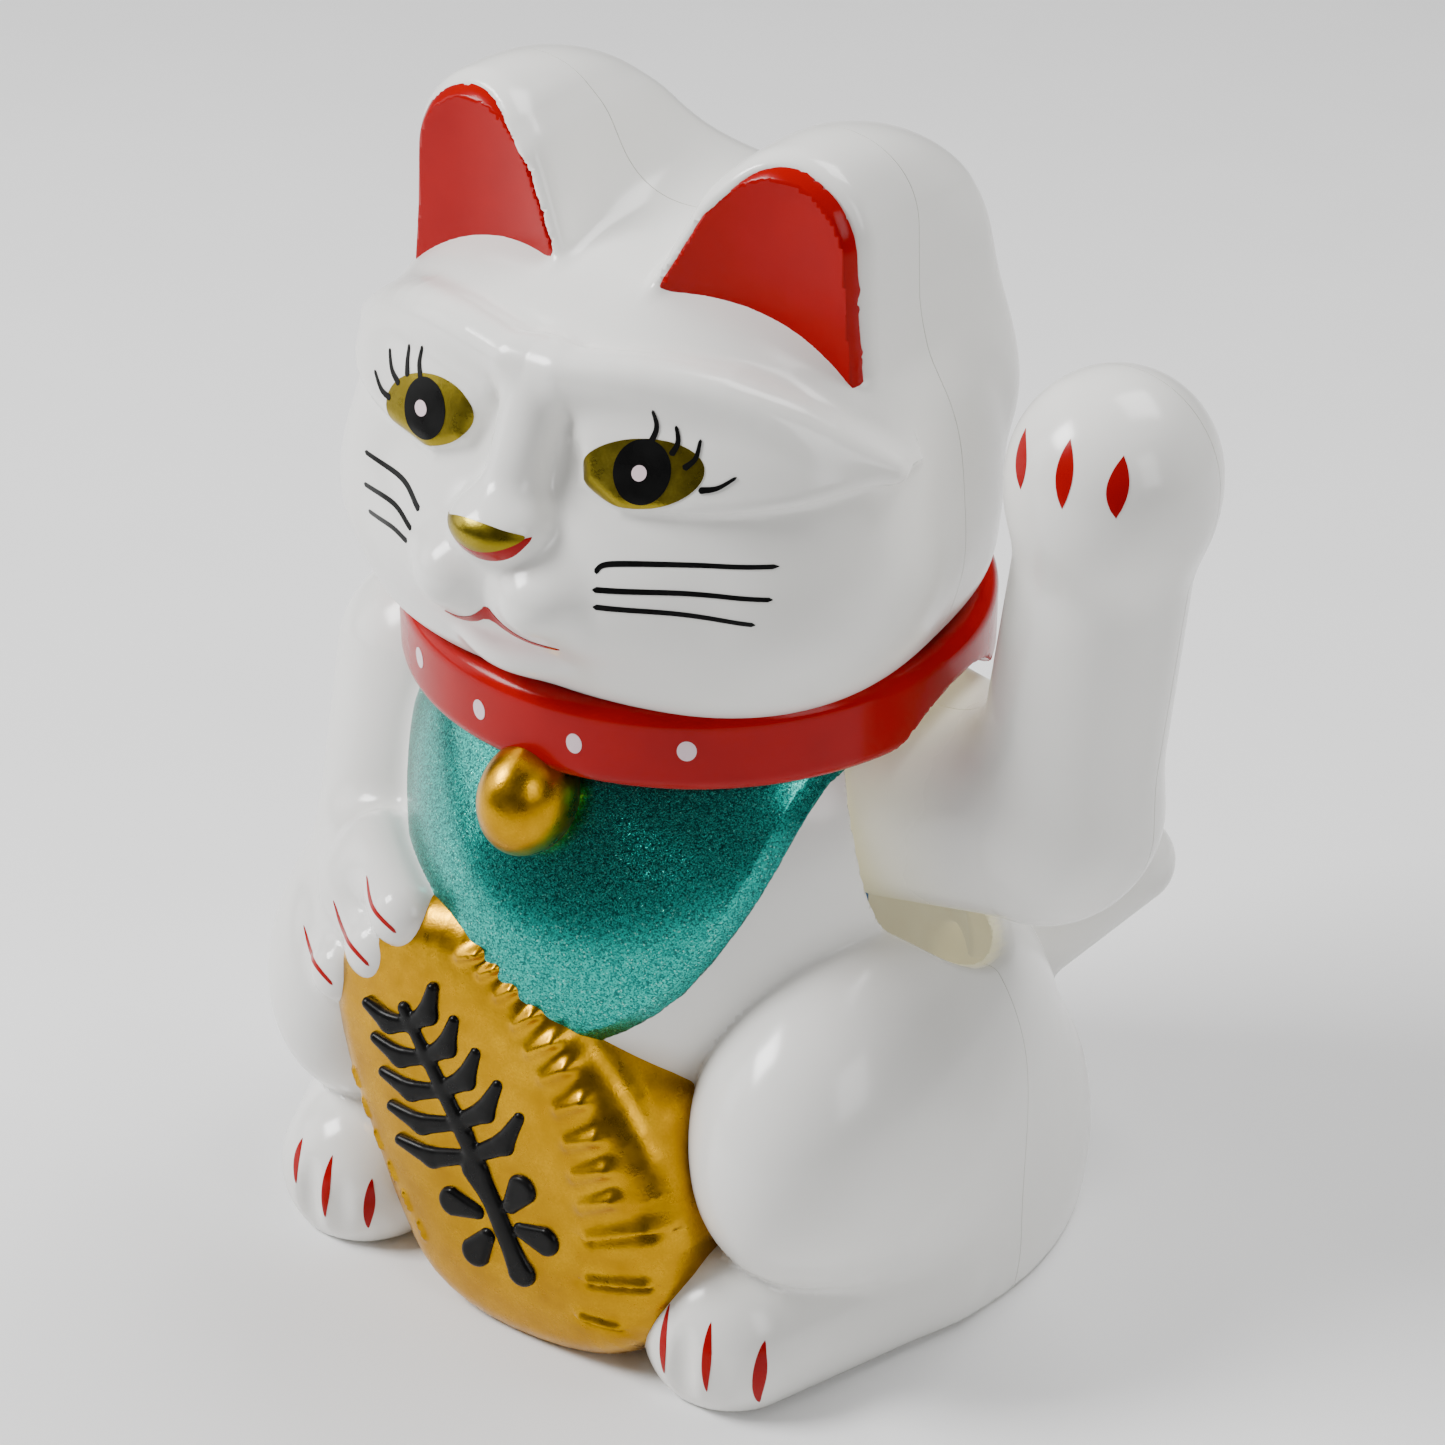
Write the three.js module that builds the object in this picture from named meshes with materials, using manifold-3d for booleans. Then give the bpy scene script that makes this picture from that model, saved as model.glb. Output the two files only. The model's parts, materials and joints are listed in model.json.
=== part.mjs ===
// Waving beckoning cat: a hollow two-part plastic figure with a battery-driven pendulum arm.
// Millimetres, +Z up, the cat faces -Y and +X is its left. The origin lies on the resting plane,
// on the axis of the collar.
import * as THREE from "three";
import { mergeVertices } from "three/addons/utils/BufferGeometryUtils.js";
import Module from "manifold-3d";

const wasm = await Module();
wasm.setup();

// ---------------------------------------------------------------- driving dimensions
const WALL = 2.2; // shell wall
const ARM_WALL = 1.6; // wall of the waving arm
const GAP = 0.3; // clearance between neighbouring solids
const SEAM_Y = -2; // plane where the front and rear shells meet
const COLLAR_Z = 84; // middle of the collar band
const COLLAR_RADIUS = 33;
const AXLE_Y = 2;
const AXLE_Z = 68;
const AXLE_RADIUS = 1.25;
const SLOT_HALF_Y = 16.5; // half sizes of the arm's opening in the shoulder
const SLOT_HALF_Z = 18.5;
const ARM_SEAM_Y = 0.5; // plane where the two halves of the arm meet
const STUB_X = 24; // inner end of the arm
const STUB_RADIUS = 12.5;
const PLATE_TOP = 2.4; // top of the base plate
const CELL_RADIUS = 7.1; // AA cell
const CELL_LENGTH = 50;
const CELL_Y = -17.4;
const CELL_Z = 10.6;
const BAY_HALF_X = 30; // inside half sizes of the battery bay
const BAY_HALF_Y = 7.8;
const DOOR_THICK = 1.6;
const FRAME_X = [-9, 17]; // the two bearing uprights
const COIL_X = 4; // the pendulum and the coil hang on this plane

const COLOURS = {
  white: { color: 0xf2f1ec, roughness: 0.22, metalness: 0 },
  inside: { color: 0xe9e2c0, roughness: 0.5, metalness: 0 },
  frame: { color: 0x3d6fb5, roughness: 0.45, metalness: 0 },
  steel: { color: 0xb9bcc0, roughness: 0.3, metalness: 1 },
  copper: { color: 0xb5622c, roughness: 0.35, metalness: 0.9 },
  board: { color: 0xc79a55, roughness: 0.6, metalness: 0 },
  black: { color: 0x17181a, roughness: 0.5, metalness: 0 },
  red: { color: 0xc2181c, roughness: 0.45, metalness: 0 },
  label: { color: 0x2c5aa0, roughness: 0.3, metalness: 0.2 },
};

const BAY = {
  x: BAY_HALF_X,
  y0: CELL_Y - BAY_HALF_Y,
  y1: CELL_Y + BAY_HALF_Y,
  top: CELL_Z + CELL_RADIUS + 1,
};
const BAY_WALL = 1.4;
const SCREW_SINK = 1.2; // depth of a base screw's head in the plate
const FRAME_SCREWS = [[FRAME_X[0] - 3.8, AXLE_Y], [FRAME_X[1] + 3.8, AXLE_Y]];

// ---------------------------------------------------------------- solids
function solid(geometry, place = new THREE.Matrix4()) {
  const plain = geometry.clone();
  plain.deleteAttribute("normal");
  plain.deleteAttribute("uv");
  plain.applyMatrix4(place);
  const merged = mergeVertices(plain, 1e-4);
  return new wasm.Manifold(
    new wasm.Mesh({
      numProp: 3,
      vertProperties: merged.attributes.position.array,
      triVerts: new Uint32Array(merged.index.array),
    }),
  );
}

function geometryOf(body) {
  const mesh = body.getMesh();
  const points = new Float32Array(mesh.numVert * 3);
  for (let i = 0; i < mesh.numVert; i++) {
    points.set(mesh.vertProperties.subarray(i * mesh.numProp, i * mesh.numProp + 3), i * 3);
  }
  const geometry = new THREE.BufferGeometry();
  geometry.setAttribute("position", new THREE.BufferAttribute(points, 3));
  geometry.setIndex(new THREE.BufferAttribute(new Uint32Array(mesh.triVerts), 1));
  geometry.computeVertexNormals();
  return geometry;
}

const at = (x, y, z) => new THREE.Matrix4().makeTranslation(x, y, z);
const sum = (bodies) => bodies.reduce((a, b) => a.add(b));

function box(x0, x1, y0, y1, z0, z1) {
  const size = [x1 - x0, y1 - y0, z1 - z0];
  return solid(new THREE.BoxGeometry(...size), at((x0 + x1) / 2, (y0 + y1) / 2, (z0 + z1) / 2));
}

// A cylinder along X, Y or Z, centred on a point.
function rod(axis, radius, length, x, y, z, sides = 24) {
  const geometry = new THREE.CylinderGeometry(radius, radius, length, sides);
  if (axis === "x") geometry.rotateZ(Math.PI / 2);
  if (axis === "z") geometry.rotateX(Math.PI / 2);
  return solid(geometry, at(x, y, z));
}

// A profile of [radius, height] points turned about a vertical axis.
function turned(profile, sides, x, y, z) {
  const points = profile.map(([r, h]) => new THREE.Vector2(r, h));
  const geometry = new THREE.LatheGeometry(points, sides);
  geometry.rotateX(Math.PI / 2);
  return solid(geometry, at(x, y, z));
}

// ---------------------------------------------------------------- the cat's form
// Each function gives a point's signed distance to a rounded form, negative inside.
function ellipsoid(p, c, r) {
  const q = [(p[0] - c[0]) / r[0], (p[1] - c[1]) / r[1], (p[2] - c[2]) / r[2]];
  const k0 = Math.hypot(...q) + 1e-6;
  return (k0 * (k0 - 1)) / (Math.hypot(q[0] / r[0], q[1] / r[1], q[2] / r[2]) + 1e-6);
}

function limb(p, a, b, ra, rb) {
  const ab = [b[0] - a[0], b[1] - a[1], b[2] - a[2]];
  const ap = [p[0] - a[0], p[1] - a[1], p[2] - a[2]];
  const along = (ap[0] * ab[0] + ap[1] * ab[1] + ap[2] * ab[2]) / (ab[0] ** 2 + ab[1] ** 2 + ab[2] ** 2);
  const t = Math.min(1, Math.max(0, along));
  return Math.hypot(ap[0] - t * ab[0], ap[1] - t * ab[1], ap[2] - t * ab[2]) - (ra + (rb - ra) * t);
}

function blend(a, b, k) {
  const h = Math.max(k - Math.abs(a - b), 0) / k;
  return Math.min(a, b) - (h * h * k) / 4;
}

const cut = (a, b, k) => -blend(-a, -b, k);
const mirrored = (p) => [Math.abs(p[0]), p[1], p[2]];

function polygon(x, z, points) {
  let nearest = Infinity;
  let sign = 1;
  points.forEach((a, i) => {
    const b = points[(i + points.length - 1) % points.length];
    const e = [b[0] - a[0], b[1] - a[1]];
    const w = [x - a[0], z - a[1]];
    const t = Math.min(1, Math.max(0, (w[0] * e[0] + w[1] * e[1]) / (e[0] ** 2 + e[1] ** 2)));
    nearest = Math.min(nearest, (w[0] - t * e[0]) ** 2 + (w[1] - t * e[1]) ** 2);
    const above = z >= a[1];
    const below = z < b[1];
    const left = e[0] * w[1] > e[1] * w[0];
    if ((above && below && left) || (!above && !below && !left)) sign = -sign;
  });
  return sign * Math.sqrt(nearest);
}

const EAR_OUTLINE = [[22.5, 116], [21, 133], [20.7, 141], [19.2, 139.5], [11.5, 124]];
const EAR_ROUNDING = 10;

function earForm(p) {
  const outline = polygon(p[0], p[2], EAR_OUTLINE) - EAR_ROUNDING;
  const thickness = Math.abs(p[1] - 0.5 - (p[2] - 125) * 0.04) - 17.5;
  const backSlope = (p[1] - 6.5) * 0.64 + (p[2] - 150.8) * 0.768;
  const dish = ellipsoid(p, [21.5, -20.5, 131], [9.5, 5, 17]);
  return cut(cut(cut(outline, thickness, 8), backSlope, 10), -dish, 2.5);
}

function headForm(p) {
  const m = mirrored(p);
  let d = ellipsoid(p, [0, -3, 110], [36.5, 30.5, 25.5]);
  d = blend(d, ellipsoid(m, [14, -12, 102], [22, 22, 15.5]), 8);
  d = blend(d, ellipsoid(p, [0, 5, 115], [34, 27, 24]), 8);
  d = blend(d, ellipsoid(m, [5.6, -32.5, 105], [7.5, 8.5, 6.8]), 5);
  d = blend(d, limb(p, [0, -36, 111.5], [0, -27, 126], 4.6, 5), 8);
  return blend(d, earForm(m), 6);
}

const KOBAN_OUTLINE = [
  [-10.3, 3.6], [-15.2, 10], [-19.6, 19], [-23.8, 30], [-25.4, 40], [-21.5, 49.5], [-12.5, 55.2], [-4, 54.8],
  [4, 49.6], [11.5, 42.8], [18.5, 35.2], [23.4, 25], [23.2, 12.5], [18.5, 4.2], [9.5, 0.6], [-1.5, 0.4],
];
const KOBAN_FRONT_Y = -46.5; // front face just above the table
const KOBAN_LEAN = 0.074; // how far the face leans back for each millimetre up
const KOBAN_BACK_Y = -20;

function kobanForm(p) {
  const outline = polygon(p[0], p[2], KOBAN_OUTLINE);
  const front = KOBAN_FRONT_Y + (p[2] - 2) * KOBAN_LEAN - p[1];
  const rim = ((outline + 6.5) * 3 + front * 6.5) / 7.2;
  return Math.max(cut(outline, cut(front, rim, 4), 4), p[1] - KOBAN_BACK_Y);
}

function bodyForm(p) {
  const d = blend(ellipsoid(p, [0, 2, 20], [38, 34.5, 57]), ellipsoid(p, [0, -2, 62], [36, 31, 28]), 15);
  return blend(d, ellipsoid(p, [0, -12, 50], [26, 28, 25]), 9);
}

function haunchForm(p) {
  const thigh = ellipsoid(p, [32.6, -9.5, 31], [17.8, 31.5, 24.2]);
  return blend(thigh, ellipsoid(p, [31, 4, 8], [19.5, 30, 30]), 7);
}

const otherSide = (form) => (p) => form([-p[0], p[1], p[2]]);
const leftFootForm = (p) => limb(p, [27.7, -33.5, 6.5], [37, -8, 6], 11.2, 12);
const rightFootForm = (p) => limb(p, [-29.5, -33.5, 6.5], [-38.8, -8, 6], 11.2, 12);
const upperLegForm = (p) => limb(p, [-33.2, -9, 69], [-34, -16, 50], 14.6, 11.2);
const forelegForm = (p) => limb(p, [-32.5, -22, 47], [-23, -37, 51], 9.5, 8.5);
const tailForm = (p) => limb(p, [22, 28, 20], [42, 37, 41], 8, 6);

const pawForm = (p) => ellipsoid(p, [56.3, -2, 118], [11.9, 12.4, 12.6]);
const forearmForm = (p) => limb(p, [51.5, 0, 74], [55.7, -1, 112], 10.8, 10);
const elbowForm = (p) => limb(p, [30, AXLE_Y, AXLE_Z], [47, 1, AXLE_Z + 0.5], STUB_RADIUS, 12.2);

// A sphere whose points are pushed out from its centre until they meet the form's surface.
function wrapped(form, centre, around, down, inset = 0) {
  const geometry = new THREE.SphereGeometry(1, around, down);
  geometry.rotateX(Math.PI / 2);
  const position = geometry.attributes.position;
  const reach = 110;
  for (let i = 0; i < position.count; i++) {
    const way = [position.getX(i), position.getY(i), position.getZ(i)];
    let inside = 0;
    let outside = reach;
    for (let step = 0; step < 40; step++) {
      const t = (inside + outside) / 2;
      const p = way.map((w, k) => centre[k] + w * t);
      if (form(p) + inset < 0) inside = t;
      else outside = t;
    }
    position.setXYZ(i, ...way.map((w, k) => centre[k] + w * inside));
  }
  return solid(geometry);
}

const FAR = 200;
const HALF_SPACE_FRONT = box(-FAR, FAR, -FAR, SEAM_Y - GAP / 2, -FAR, FAR);
const HALF_SPACE_REAR = box(-FAR, FAR, SEAM_Y + GAP / 2, FAR, -FAR, FAR);
const ABOVE_BASE = box(-FAR, FAR, -FAR, FAR, 0, FAR);

// Every form of the figure, with the point it is wrapped from and its number of points around and down.
const FORMS = [
  [headForm, [0, -2, 113], 40, 24],
  [bodyForm, [0, -2, 42], 36, 20],
  [haunchForm, [31, -1, 22], 20, 14],
  [otherSide(haunchForm), [-31, -1, 22], 20, 14],
  [leftFootForm, [32, -20, 7], 14, 10],
  [rightFootForm, [-34, -20, 7], 14, 10],
  [upperLegForm, [-32, -12, 60], 16, 12],
  [forelegForm, [-28, -29, 49], 14, 10],
  [tailForm, [32, 32, 30], 10, 8],
  [kobanForm, [-1, -34, 26], 26, 16],
];
const INNER_DETAIL = 0.6; // the unseen inner faces are coarser by this factor

function wrapAll(forms, inset, detail) {
  const even = (count) => 2 * Math.round((count * detail) / 2);
  const wrap = ([form, centre, around, down]) => wrapped(form, centre, even(around), even(down), inset);
  return sum(forms.map(wrap));
}

const NECK_RADIUS = 27;

function figure(inset, detail) {
  return wrapAll(FORMS, inset, detail).add(rod("z", NECK_RADIUS - inset, 16, 0, -2, 86, 32));
}

const COLLAR_INNER_RADIUS = 30;
const COLLAR_OUTER_RADIUS = COLLAR_RADIUS + 2.8;
const COLLAR_HALF = 5; // half the collar's height
const COLLAR_EDGE = 2; // its outer edges are bevelled by this much
const BELL_RADII = [6.1, 7.8, 7.3];
const BELL_CENTRE = [1, -36, 74.1];

const collar = turned(
  [
    [COLLAR_INNER_RADIUS, -COLLAR_HALF],
    [COLLAR_OUTER_RADIUS - COLLAR_EDGE, -COLLAR_HALF],
    [COLLAR_OUTER_RADIUS, COLLAR_EDGE - COLLAR_HALF],
    [COLLAR_OUTER_RADIUS, COLLAR_HALF - COLLAR_EDGE],
    [COLLAR_OUTER_RADIUS - COLLAR_EDGE, COLLAR_HALF],
    [COLLAR_INNER_RADIUS, COLLAR_HALF],
    [COLLAR_INNER_RADIUS, -COLLAR_HALF],
  ],
  48, 0, 0, COLLAR_Z,
);
const bellPlace = at(...BELL_CENTRE).scale(new THREE.Vector3(...BELL_RADII));
const bell = solid(new THREE.SphereGeometry(1, 20, 12), bellPlace);

const outside = sum([figure(0, 1), collar, bell]);

// The opening in the left shoulder that the arm swings in.
function shoulderSlot() {
  const geometry = new THREE.CylinderGeometry(1, 1, 60, 32);
  geometry.rotateZ(Math.PI / 2);
  geometry.scale(1, SLOT_HALF_Y, SLOT_HALF_Z);
  return solid(geometry, at(52, AXLE_Y, AXLE_Z));
}

// Screw posts that stand inside the shells, each tied to the wall by a rib.
const POST_RADIUS = 3.4;
const POST_TOP = 16;
const FRONT_POSTS = [[-35.5, -6], [35.5, -6]];
const REAR_POSTS = [[-26, 18], [26, 18]];
const SCREW_BORE = 1.2;

function posts(places, ribY) {
  return sum(places.map(([x, y]) => {
    const post = rod("z", POST_RADIUS, POST_TOP - PLATE_TOP - GAP, x, y, (POST_TOP + PLATE_TOP + GAP) / 2);
    const side = Math.sign(x);
    const rib = box(Math.min(x, x + side * 24), Math.max(x, x + side * 24), y - 0.9, y + 0.9,
      PLATE_TOP + GAP, POST_TOP - 2);
    const back = box(x - 0.9, x + 0.9, Math.min(y, ribY), Math.max(y, ribY), PLATE_TOP + GAP, POST_TOP - 2);
    return sum([post, rib, back]);
  })).intersect(outside).subtract(sum(places.map(([x, y]) => rod("z", SCREW_BORE, 22, x, y, 5, 12))));
}

const BAY_ROOM_X = BAY.x + BAY_WALL + GAP;
const bayRoom = box(-BAY_ROOM_X, BAY_ROOM_X, BAY.y0 - BAY_WALL - GAP, 0, -1, BAY.top + GAP);
const inside = figure(WALL, INNER_DETAIL).add(bayRoom);
const hollow = outside.subtract(inside).subtract(shoulderSlot()).intersect(ABOVE_BASE);
const frontShell = hollow.intersect(HALF_SPACE_FRONT).add(posts(FRONT_POSTS, -40));
const rearShell = hollow.intersect(HALF_SPACE_REAR).add(posts(REAR_POSTS, 36));

// ---------------------------------------------------------------- base
function basePlate() {
  const slab = figure(WALL + GAP + 0.1, INNER_DETAIL).intersect(box(-FAR, FAR, -FAR, FAR, 0, PLATE_TOP));
  const wallX = BAY.x + BAY_WALL;
  const walls = box(-wallX, wallX, BAY.y0 - BAY_WALL, BAY.y1 + BAY_WALL, 0.5, BAY.top);
  const space = box(-BAY.x, BAY.x, BAY.y0, BAY.y1, -1, BAY.top + 1);
  const lip = box(-BAY.x - 1, BAY.x + 1, BAY.y0 - 1, BAY.y1 + 1, -1, DOOR_THICK + GAP);
  const holes = [...FRONT_POSTS, ...REAR_POSTS].map(([x, y]) => sum([
    rod("z", 1.7, 12, x, y, 0, 12),
    rod("z", 3, 2 * SCREW_SINK, x, y, 0, 20),
  ]));
  const frameHoles = FRAME_SCREWS.map(([x, y]) => rod("z", 1.15, 3.2, x, y, PLATE_TOP, 12));
  return slab.add(walls).subtract(space).subtract(lip).subtract(sum(holes)).subtract(sum(frameHoles));
}

const HINGE_X = -BAY_HALF_X - 1 + GAP + DOOR_THICK / 2;

function batteryDoor() {
  const edge = 1 - GAP;
  const panel = box(HINGE_X, BAY.x + edge, BAY.y0 - edge, BAY.y1 + edge, 0, DOOR_THICK);
  const knuckle = rod("y", DOOR_THICK / 2, 2 * (BAY_HALF_Y + edge), HINGE_X, CELL_Y, DOOR_THICK / 2, 16);
  const gripX = [0, 1, 2].map((i) => BAY.x - 7 + i * 2);
  const grips = gripX.map((x) => box(x, x + 1, CELL_Y - 4, CELL_Y + 4, -1, 0.4));
  return panel.add(knuckle).subtract(sum(grips));
}

function baseScrew(x, y) {
  const head = turned([[0, 0.1], [2.6, 0.1], [2.6, 0.6], [1.1, SCREW_SINK], [0, SCREW_SINK]], 20, x, y, 0);
  const shank = rod("z", 0.9, 11, x, y, 6.2, 12);
  const cross = sum([
    box(x - 1.5, x + 1.5, y - 0.3, y + 0.3, -1, 0.6),
    box(x - 0.3, x + 0.3, y - 1.5, y + 1.5, -1, 0.6),
  ]);
  return head.add(shank).subtract(cross);
}

// ---------------------------------------------------------------- battery and contacts
function batteryCell() {
  const can = rod("x", CELL_RADIUS, CELL_LENGTH - 1, -0.5, CELL_Y, CELL_Z, 28);
  return can.add(rod("x", 2.7, 1.4, CELL_LENGTH / 2 - 0.5, CELL_Y, CELL_Z, 16));
}

function contactPlate(side) {
  const x = side * (BAY.x - 0.5);
  const plate = box(x - 0.2, x + 0.2, CELL_Y - 5, CELL_Y + 5, CELL_Z - 5, BAY.top + 3);
  const tag = box(x - 0.2, x + 0.2, CELL_Y - 1.2, CELL_Y + 1.2, BAY.top + 2, BAY.top + 6);
  return plate.add(tag);
}

function positiveContact() {
  return contactPlate(1).add(rod("x", 2.2, 3.1, BAY.x - 1.9, CELL_Y, CELL_Z, 16));
}

// A conical spring of three turns in front of its plate.
function negativeSpring() {
  const turns = 3;
  const steps = 42;
  const wireRadius = 0.4;
  const start = -BAY.x + 1.3;
  const end = -CELL_LENGTH / 2 - 1 - GAP;
  const points = Array.from({ length: steps + 1 }, (_, i) => {
    const t = i / steps;
    const radius = 5 - 2.2 * t;
    const angle = t * turns * 2 * Math.PI;
    const y = CELL_Y + radius * Math.cos(angle);
    const z = CELL_Z + radius * Math.sin(angle);
    return new THREE.Vector3(start + (end - start) * t, y, z);
  });
  const wire = new THREE.Shape().absarc(0, 0, wireRadius, 0, 2 * Math.PI);
  const path = new THREE.CatmullRomCurve3(points);
  return solid(new THREE.ExtrudeGeometry(wire, { steps, extrudePath: path, curveSegments: 3 }));
}

// ---------------------------------------------------------------- drive frame
const BAR = 2.4; // thickness of the frame's walls
const FRAME_Y = [-6.5, 11.5];
const COIL_BASE_Z = 12;

function upright(x) {
  const wall = box(x - BAR / 2, x + BAR / 2, FRAME_Y[0], FRAME_Y[1], PLATE_TOP + GAP, AXLE_Z + 5);
  const window = box(x - 5, x + 5, FRAME_Y[0] + 4, FRAME_Y[1] - 4, 26, AXLE_Z - 10);
  return wall.subtract(window).subtract(rod("x", AXLE_RADIUS + 0.35, 10, x, AXLE_Y, AXLE_Z, 16));
}

function driveFrame() {
  const [left, right] = FRAME_X;
  const floor = box(left - 6, right + 6, FRAME_Y[0], FRAME_Y[1], PLATE_TOP + GAP, PLATE_TOP + GAP + BAR);
  const seat = box(left, right, FRAME_Y[0], FRAME_Y[1], COIL_BASE_Z - BAR, COIL_BASE_Z);
  const tie = box(left, right, FRAME_Y[1] - BAR, FRAME_Y[1], AXLE_Z - 9, AXLE_Z - 4);
  const body = sum([floor, seat, tie, upright(left), upright(right)]);
  const holes = FRAME_SCREWS.map(([x, y]) => rod("z", 1.2, 8, x, y, 4, 12));
  return body.subtract(sum(holes));
}

function frameScrew(x, y) {
  const top = PLATE_TOP + GAP + BAR;
  const head = turned([[0, GAP], [2, GAP], [1.8, 1.3], [0, 1.6]], 20, x, y, top);
  return head.add(rod("z", 0.85, 4.4, x, y, top + GAP - 1.9, 12));
}

const BOBBIN_RADIUS = 8.2;
const BOBBIN_CORE_RADIUS = 3.4;
const BOBBIN_BORE_RADIUS = 2;
const BOBBIN_FLANGE = 1;
const COIL_TOP_Z = 23;

function coilBobbin() {
  const z0 = COIL_BASE_Z + GAP;
  const height = COIL_TOP_Z - z0;
  const profile = [
    [BOBBIN_BORE_RADIUS, 0],
    [BOBBIN_RADIUS, 0],
    [BOBBIN_RADIUS, BOBBIN_FLANGE],
    [BOBBIN_CORE_RADIUS, BOBBIN_FLANGE],
    [BOBBIN_CORE_RADIUS, height - BOBBIN_FLANGE],
    [BOBBIN_RADIUS, height - BOBBIN_FLANGE],
    [BOBBIN_RADIUS, height],
    [BOBBIN_BORE_RADIUS, height],
    [BOBBIN_BORE_RADIUS, 0],
  ];
  return turned(profile, 28, COIL_X, AXLE_Y, z0);
}

function coilWinding() {
  const low = COIL_BASE_Z + GAP + BOBBIN_FLANGE + GAP;
  const height = COIL_TOP_Z - BOBBIN_FLANGE - GAP - low;
  const inner = BOBBIN_CORE_RADIUS + GAP;
  const outer = BOBBIN_RADIUS - 0.8;
  const middle = [outer + 0.2, height / 2];
  const profile = [[inner, 0], [outer, 0], middle, [outer, height], [inner, height], [inner, 0]];
  return turned(profile, 28, COIL_X, AXLE_Y, low);
}

const BOARD = { x: 12, y0: 15, y1: 29, z: PLATE_TOP + GAP };
const BOARD_TOP = BOARD.z + 1.6;

function circuitBoard() {
  const board = box(-BOARD.x, BOARD.x, BOARD.y0, BOARD.y1, BOARD.z, BOARD_TOP);
  const corners = [-1, 1].map((side) => rod("z", 1, 6, side * (BOARD.x - 2), BOARD.y1 - 2, BOARD.z, 12));
  return board.subtract(sum(corners));
}

const LEG_PITCH = 1.27;

function transistor() {
  const body = rod("z", 2.3, 4.6, 6, 23, BOARD_TOP + GAP + 4, 20);
  const flat = box(3, 9, 24.4, 28, BOARD_TOP, BOARD_TOP + 8);
  const legX = [-1, 0, 1].map((i) => 6 + i * LEG_PITCH);
  const legs = legX.map((x) => box(x - 0.25, x + 0.25, 22.6, 23.1, BOARD_TOP + GAP, BOARD_TOP + 3));
  return sum([body.subtract(flat), ...legs]);
}

function capacitor() {
  const can = [[0, 0], [2.3, 0], [2.5, 0.4], [2.5, 6], [2.3, 6.4], [0, 6.4]];
  return turned(can, 24, -5.5, 23.5, BOARD_TOP + GAP);
}

function resistor() {
  const z = BOARD_TOP + GAP + 1.1;
  return rod("x", 1.1, 6, 0, 18.6, z, 16).add(rod("x", 0.3, 9, 0, 18.6, z, 8));
}

// ---------------------------------------------------------------- swinging arm
const ARM_FORMS = [
  [pawForm, [56.3, -2, 118], 20, 14],
  [forearmForm, [53.6, -0.5, 93], 20, 16],
  [elbowForm, [40, 1.5, AXLE_Z], 24, 14],
];

function arm(inset, detail) {
  const stub = rod("x", STUB_RADIUS - inset, 22 + 4 * inset, 35, AXLE_Y, AXLE_Z, 32);
  return wrapAll(ARM_FORMS, inset, detail).add(stub);
}

function armShells() {
  const outerSide = box(STUB_X, FAR, -FAR, FAR, -FAR, FAR);
  const shell = arm(0, 1).subtract(arm(ARM_WALL, INNER_DETAIL)).intersect(outerSide);
  return [
    shell.intersect(box(-FAR, FAR, -FAR, ARM_SEAM_Y - GAP / 2, -FAR, FAR)),
    shell.intersect(box(-FAR, FAR, ARM_SEAM_Y + GAP / 2, FAR, -FAR, FAR)),
  ];
}

const HUB_X = [20, 34];

function armHub() {
  const barrel = rod("x", 4, HUB_X[1] - HUB_X[0], (HUB_X[0] + HUB_X[1]) / 2, AXLE_Y, AXLE_Z, 24);
  const disc = rod("x", STUB_RADIUS - ARM_WALL - GAP, 2, STUB_X + 2, AXLE_Y, AXLE_Z, 32);
  return barrel.add(disc).subtract(rod("x", AXLE_RADIUS + GAP, 30, 27, AXLE_Y, AXLE_Z, 16));
}

const AXLE_X = [-13, 33];

function axlePin() {
  return rod("x", AXLE_RADIUS, AXLE_X[1] - AXLE_X[0], (AXLE_X[0] + AXLE_X[1]) / 2, AXLE_Y, AXLE_Z, 20);
}

function retainingClip(x) {
  const ring = rod("x", 2.8, 0.6, x, AXLE_Y, AXLE_Z, 20);
  const mouth = box(x - 1, x + 1, AXLE_Y - 0.9, AXLE_Y + 0.9, AXLE_Z, AXLE_Z + 4);
  return ring.subtract(rod("x", AXLE_RADIUS + GAP, 4, x, AXLE_Y, AXLE_Z, 16)).subtract(mouth);
}

const LEVER_END_Z = 33;
const MAGNET_RADIUS = 6;

function pendulumLever() {
  const hub = rod("x", 4.2, 9, COIL_X, AXLE_Y, AXLE_Z, 24);
  const bar = box(COIL_X - 1.6, COIL_X + 1.6, AXLE_Y - 3.4, AXLE_Y + 3.4, LEVER_END_Z, AXLE_Z);
  const cup = rod("z", MAGNET_RADIUS + 1.4, 3, COIL_X, AXLE_Y, LEVER_END_Z + 0.5, 28);
  const bore = rod("x", AXLE_RADIUS + GAP, 14, COIL_X, AXLE_Y, AXLE_Z, 16);
  return sum([hub, bar, cup]).subtract(bore);
}

function pendulumMagnet() {
  const top = LEVER_END_Z - 1 - GAP;
  return rod("z", MAGNET_RADIUS, 4, COIL_X, AXLE_Y, top - 2, 28);
}

const WEIGHT = { x: 4.5, y: 12, z: 15 };
const WEIGHT_SHIFT_Y = 1.9; // brings the arm's centre of mass under the axle

function counterweight(side) {
  const x = COIL_X + side * (1.6 + GAP + WEIGHT.x / 2);
  const y = AXLE_Y + WEIGHT_SHIFT_Y;
  const z = LEVER_END_Z + 2.6;
  return box(x - WEIGHT.x / 2, x + WEIGHT.x / 2, y - WEIGHT.y / 2, y + WEIGHT.y / 2, z, z + WEIGHT.z);
}

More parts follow.
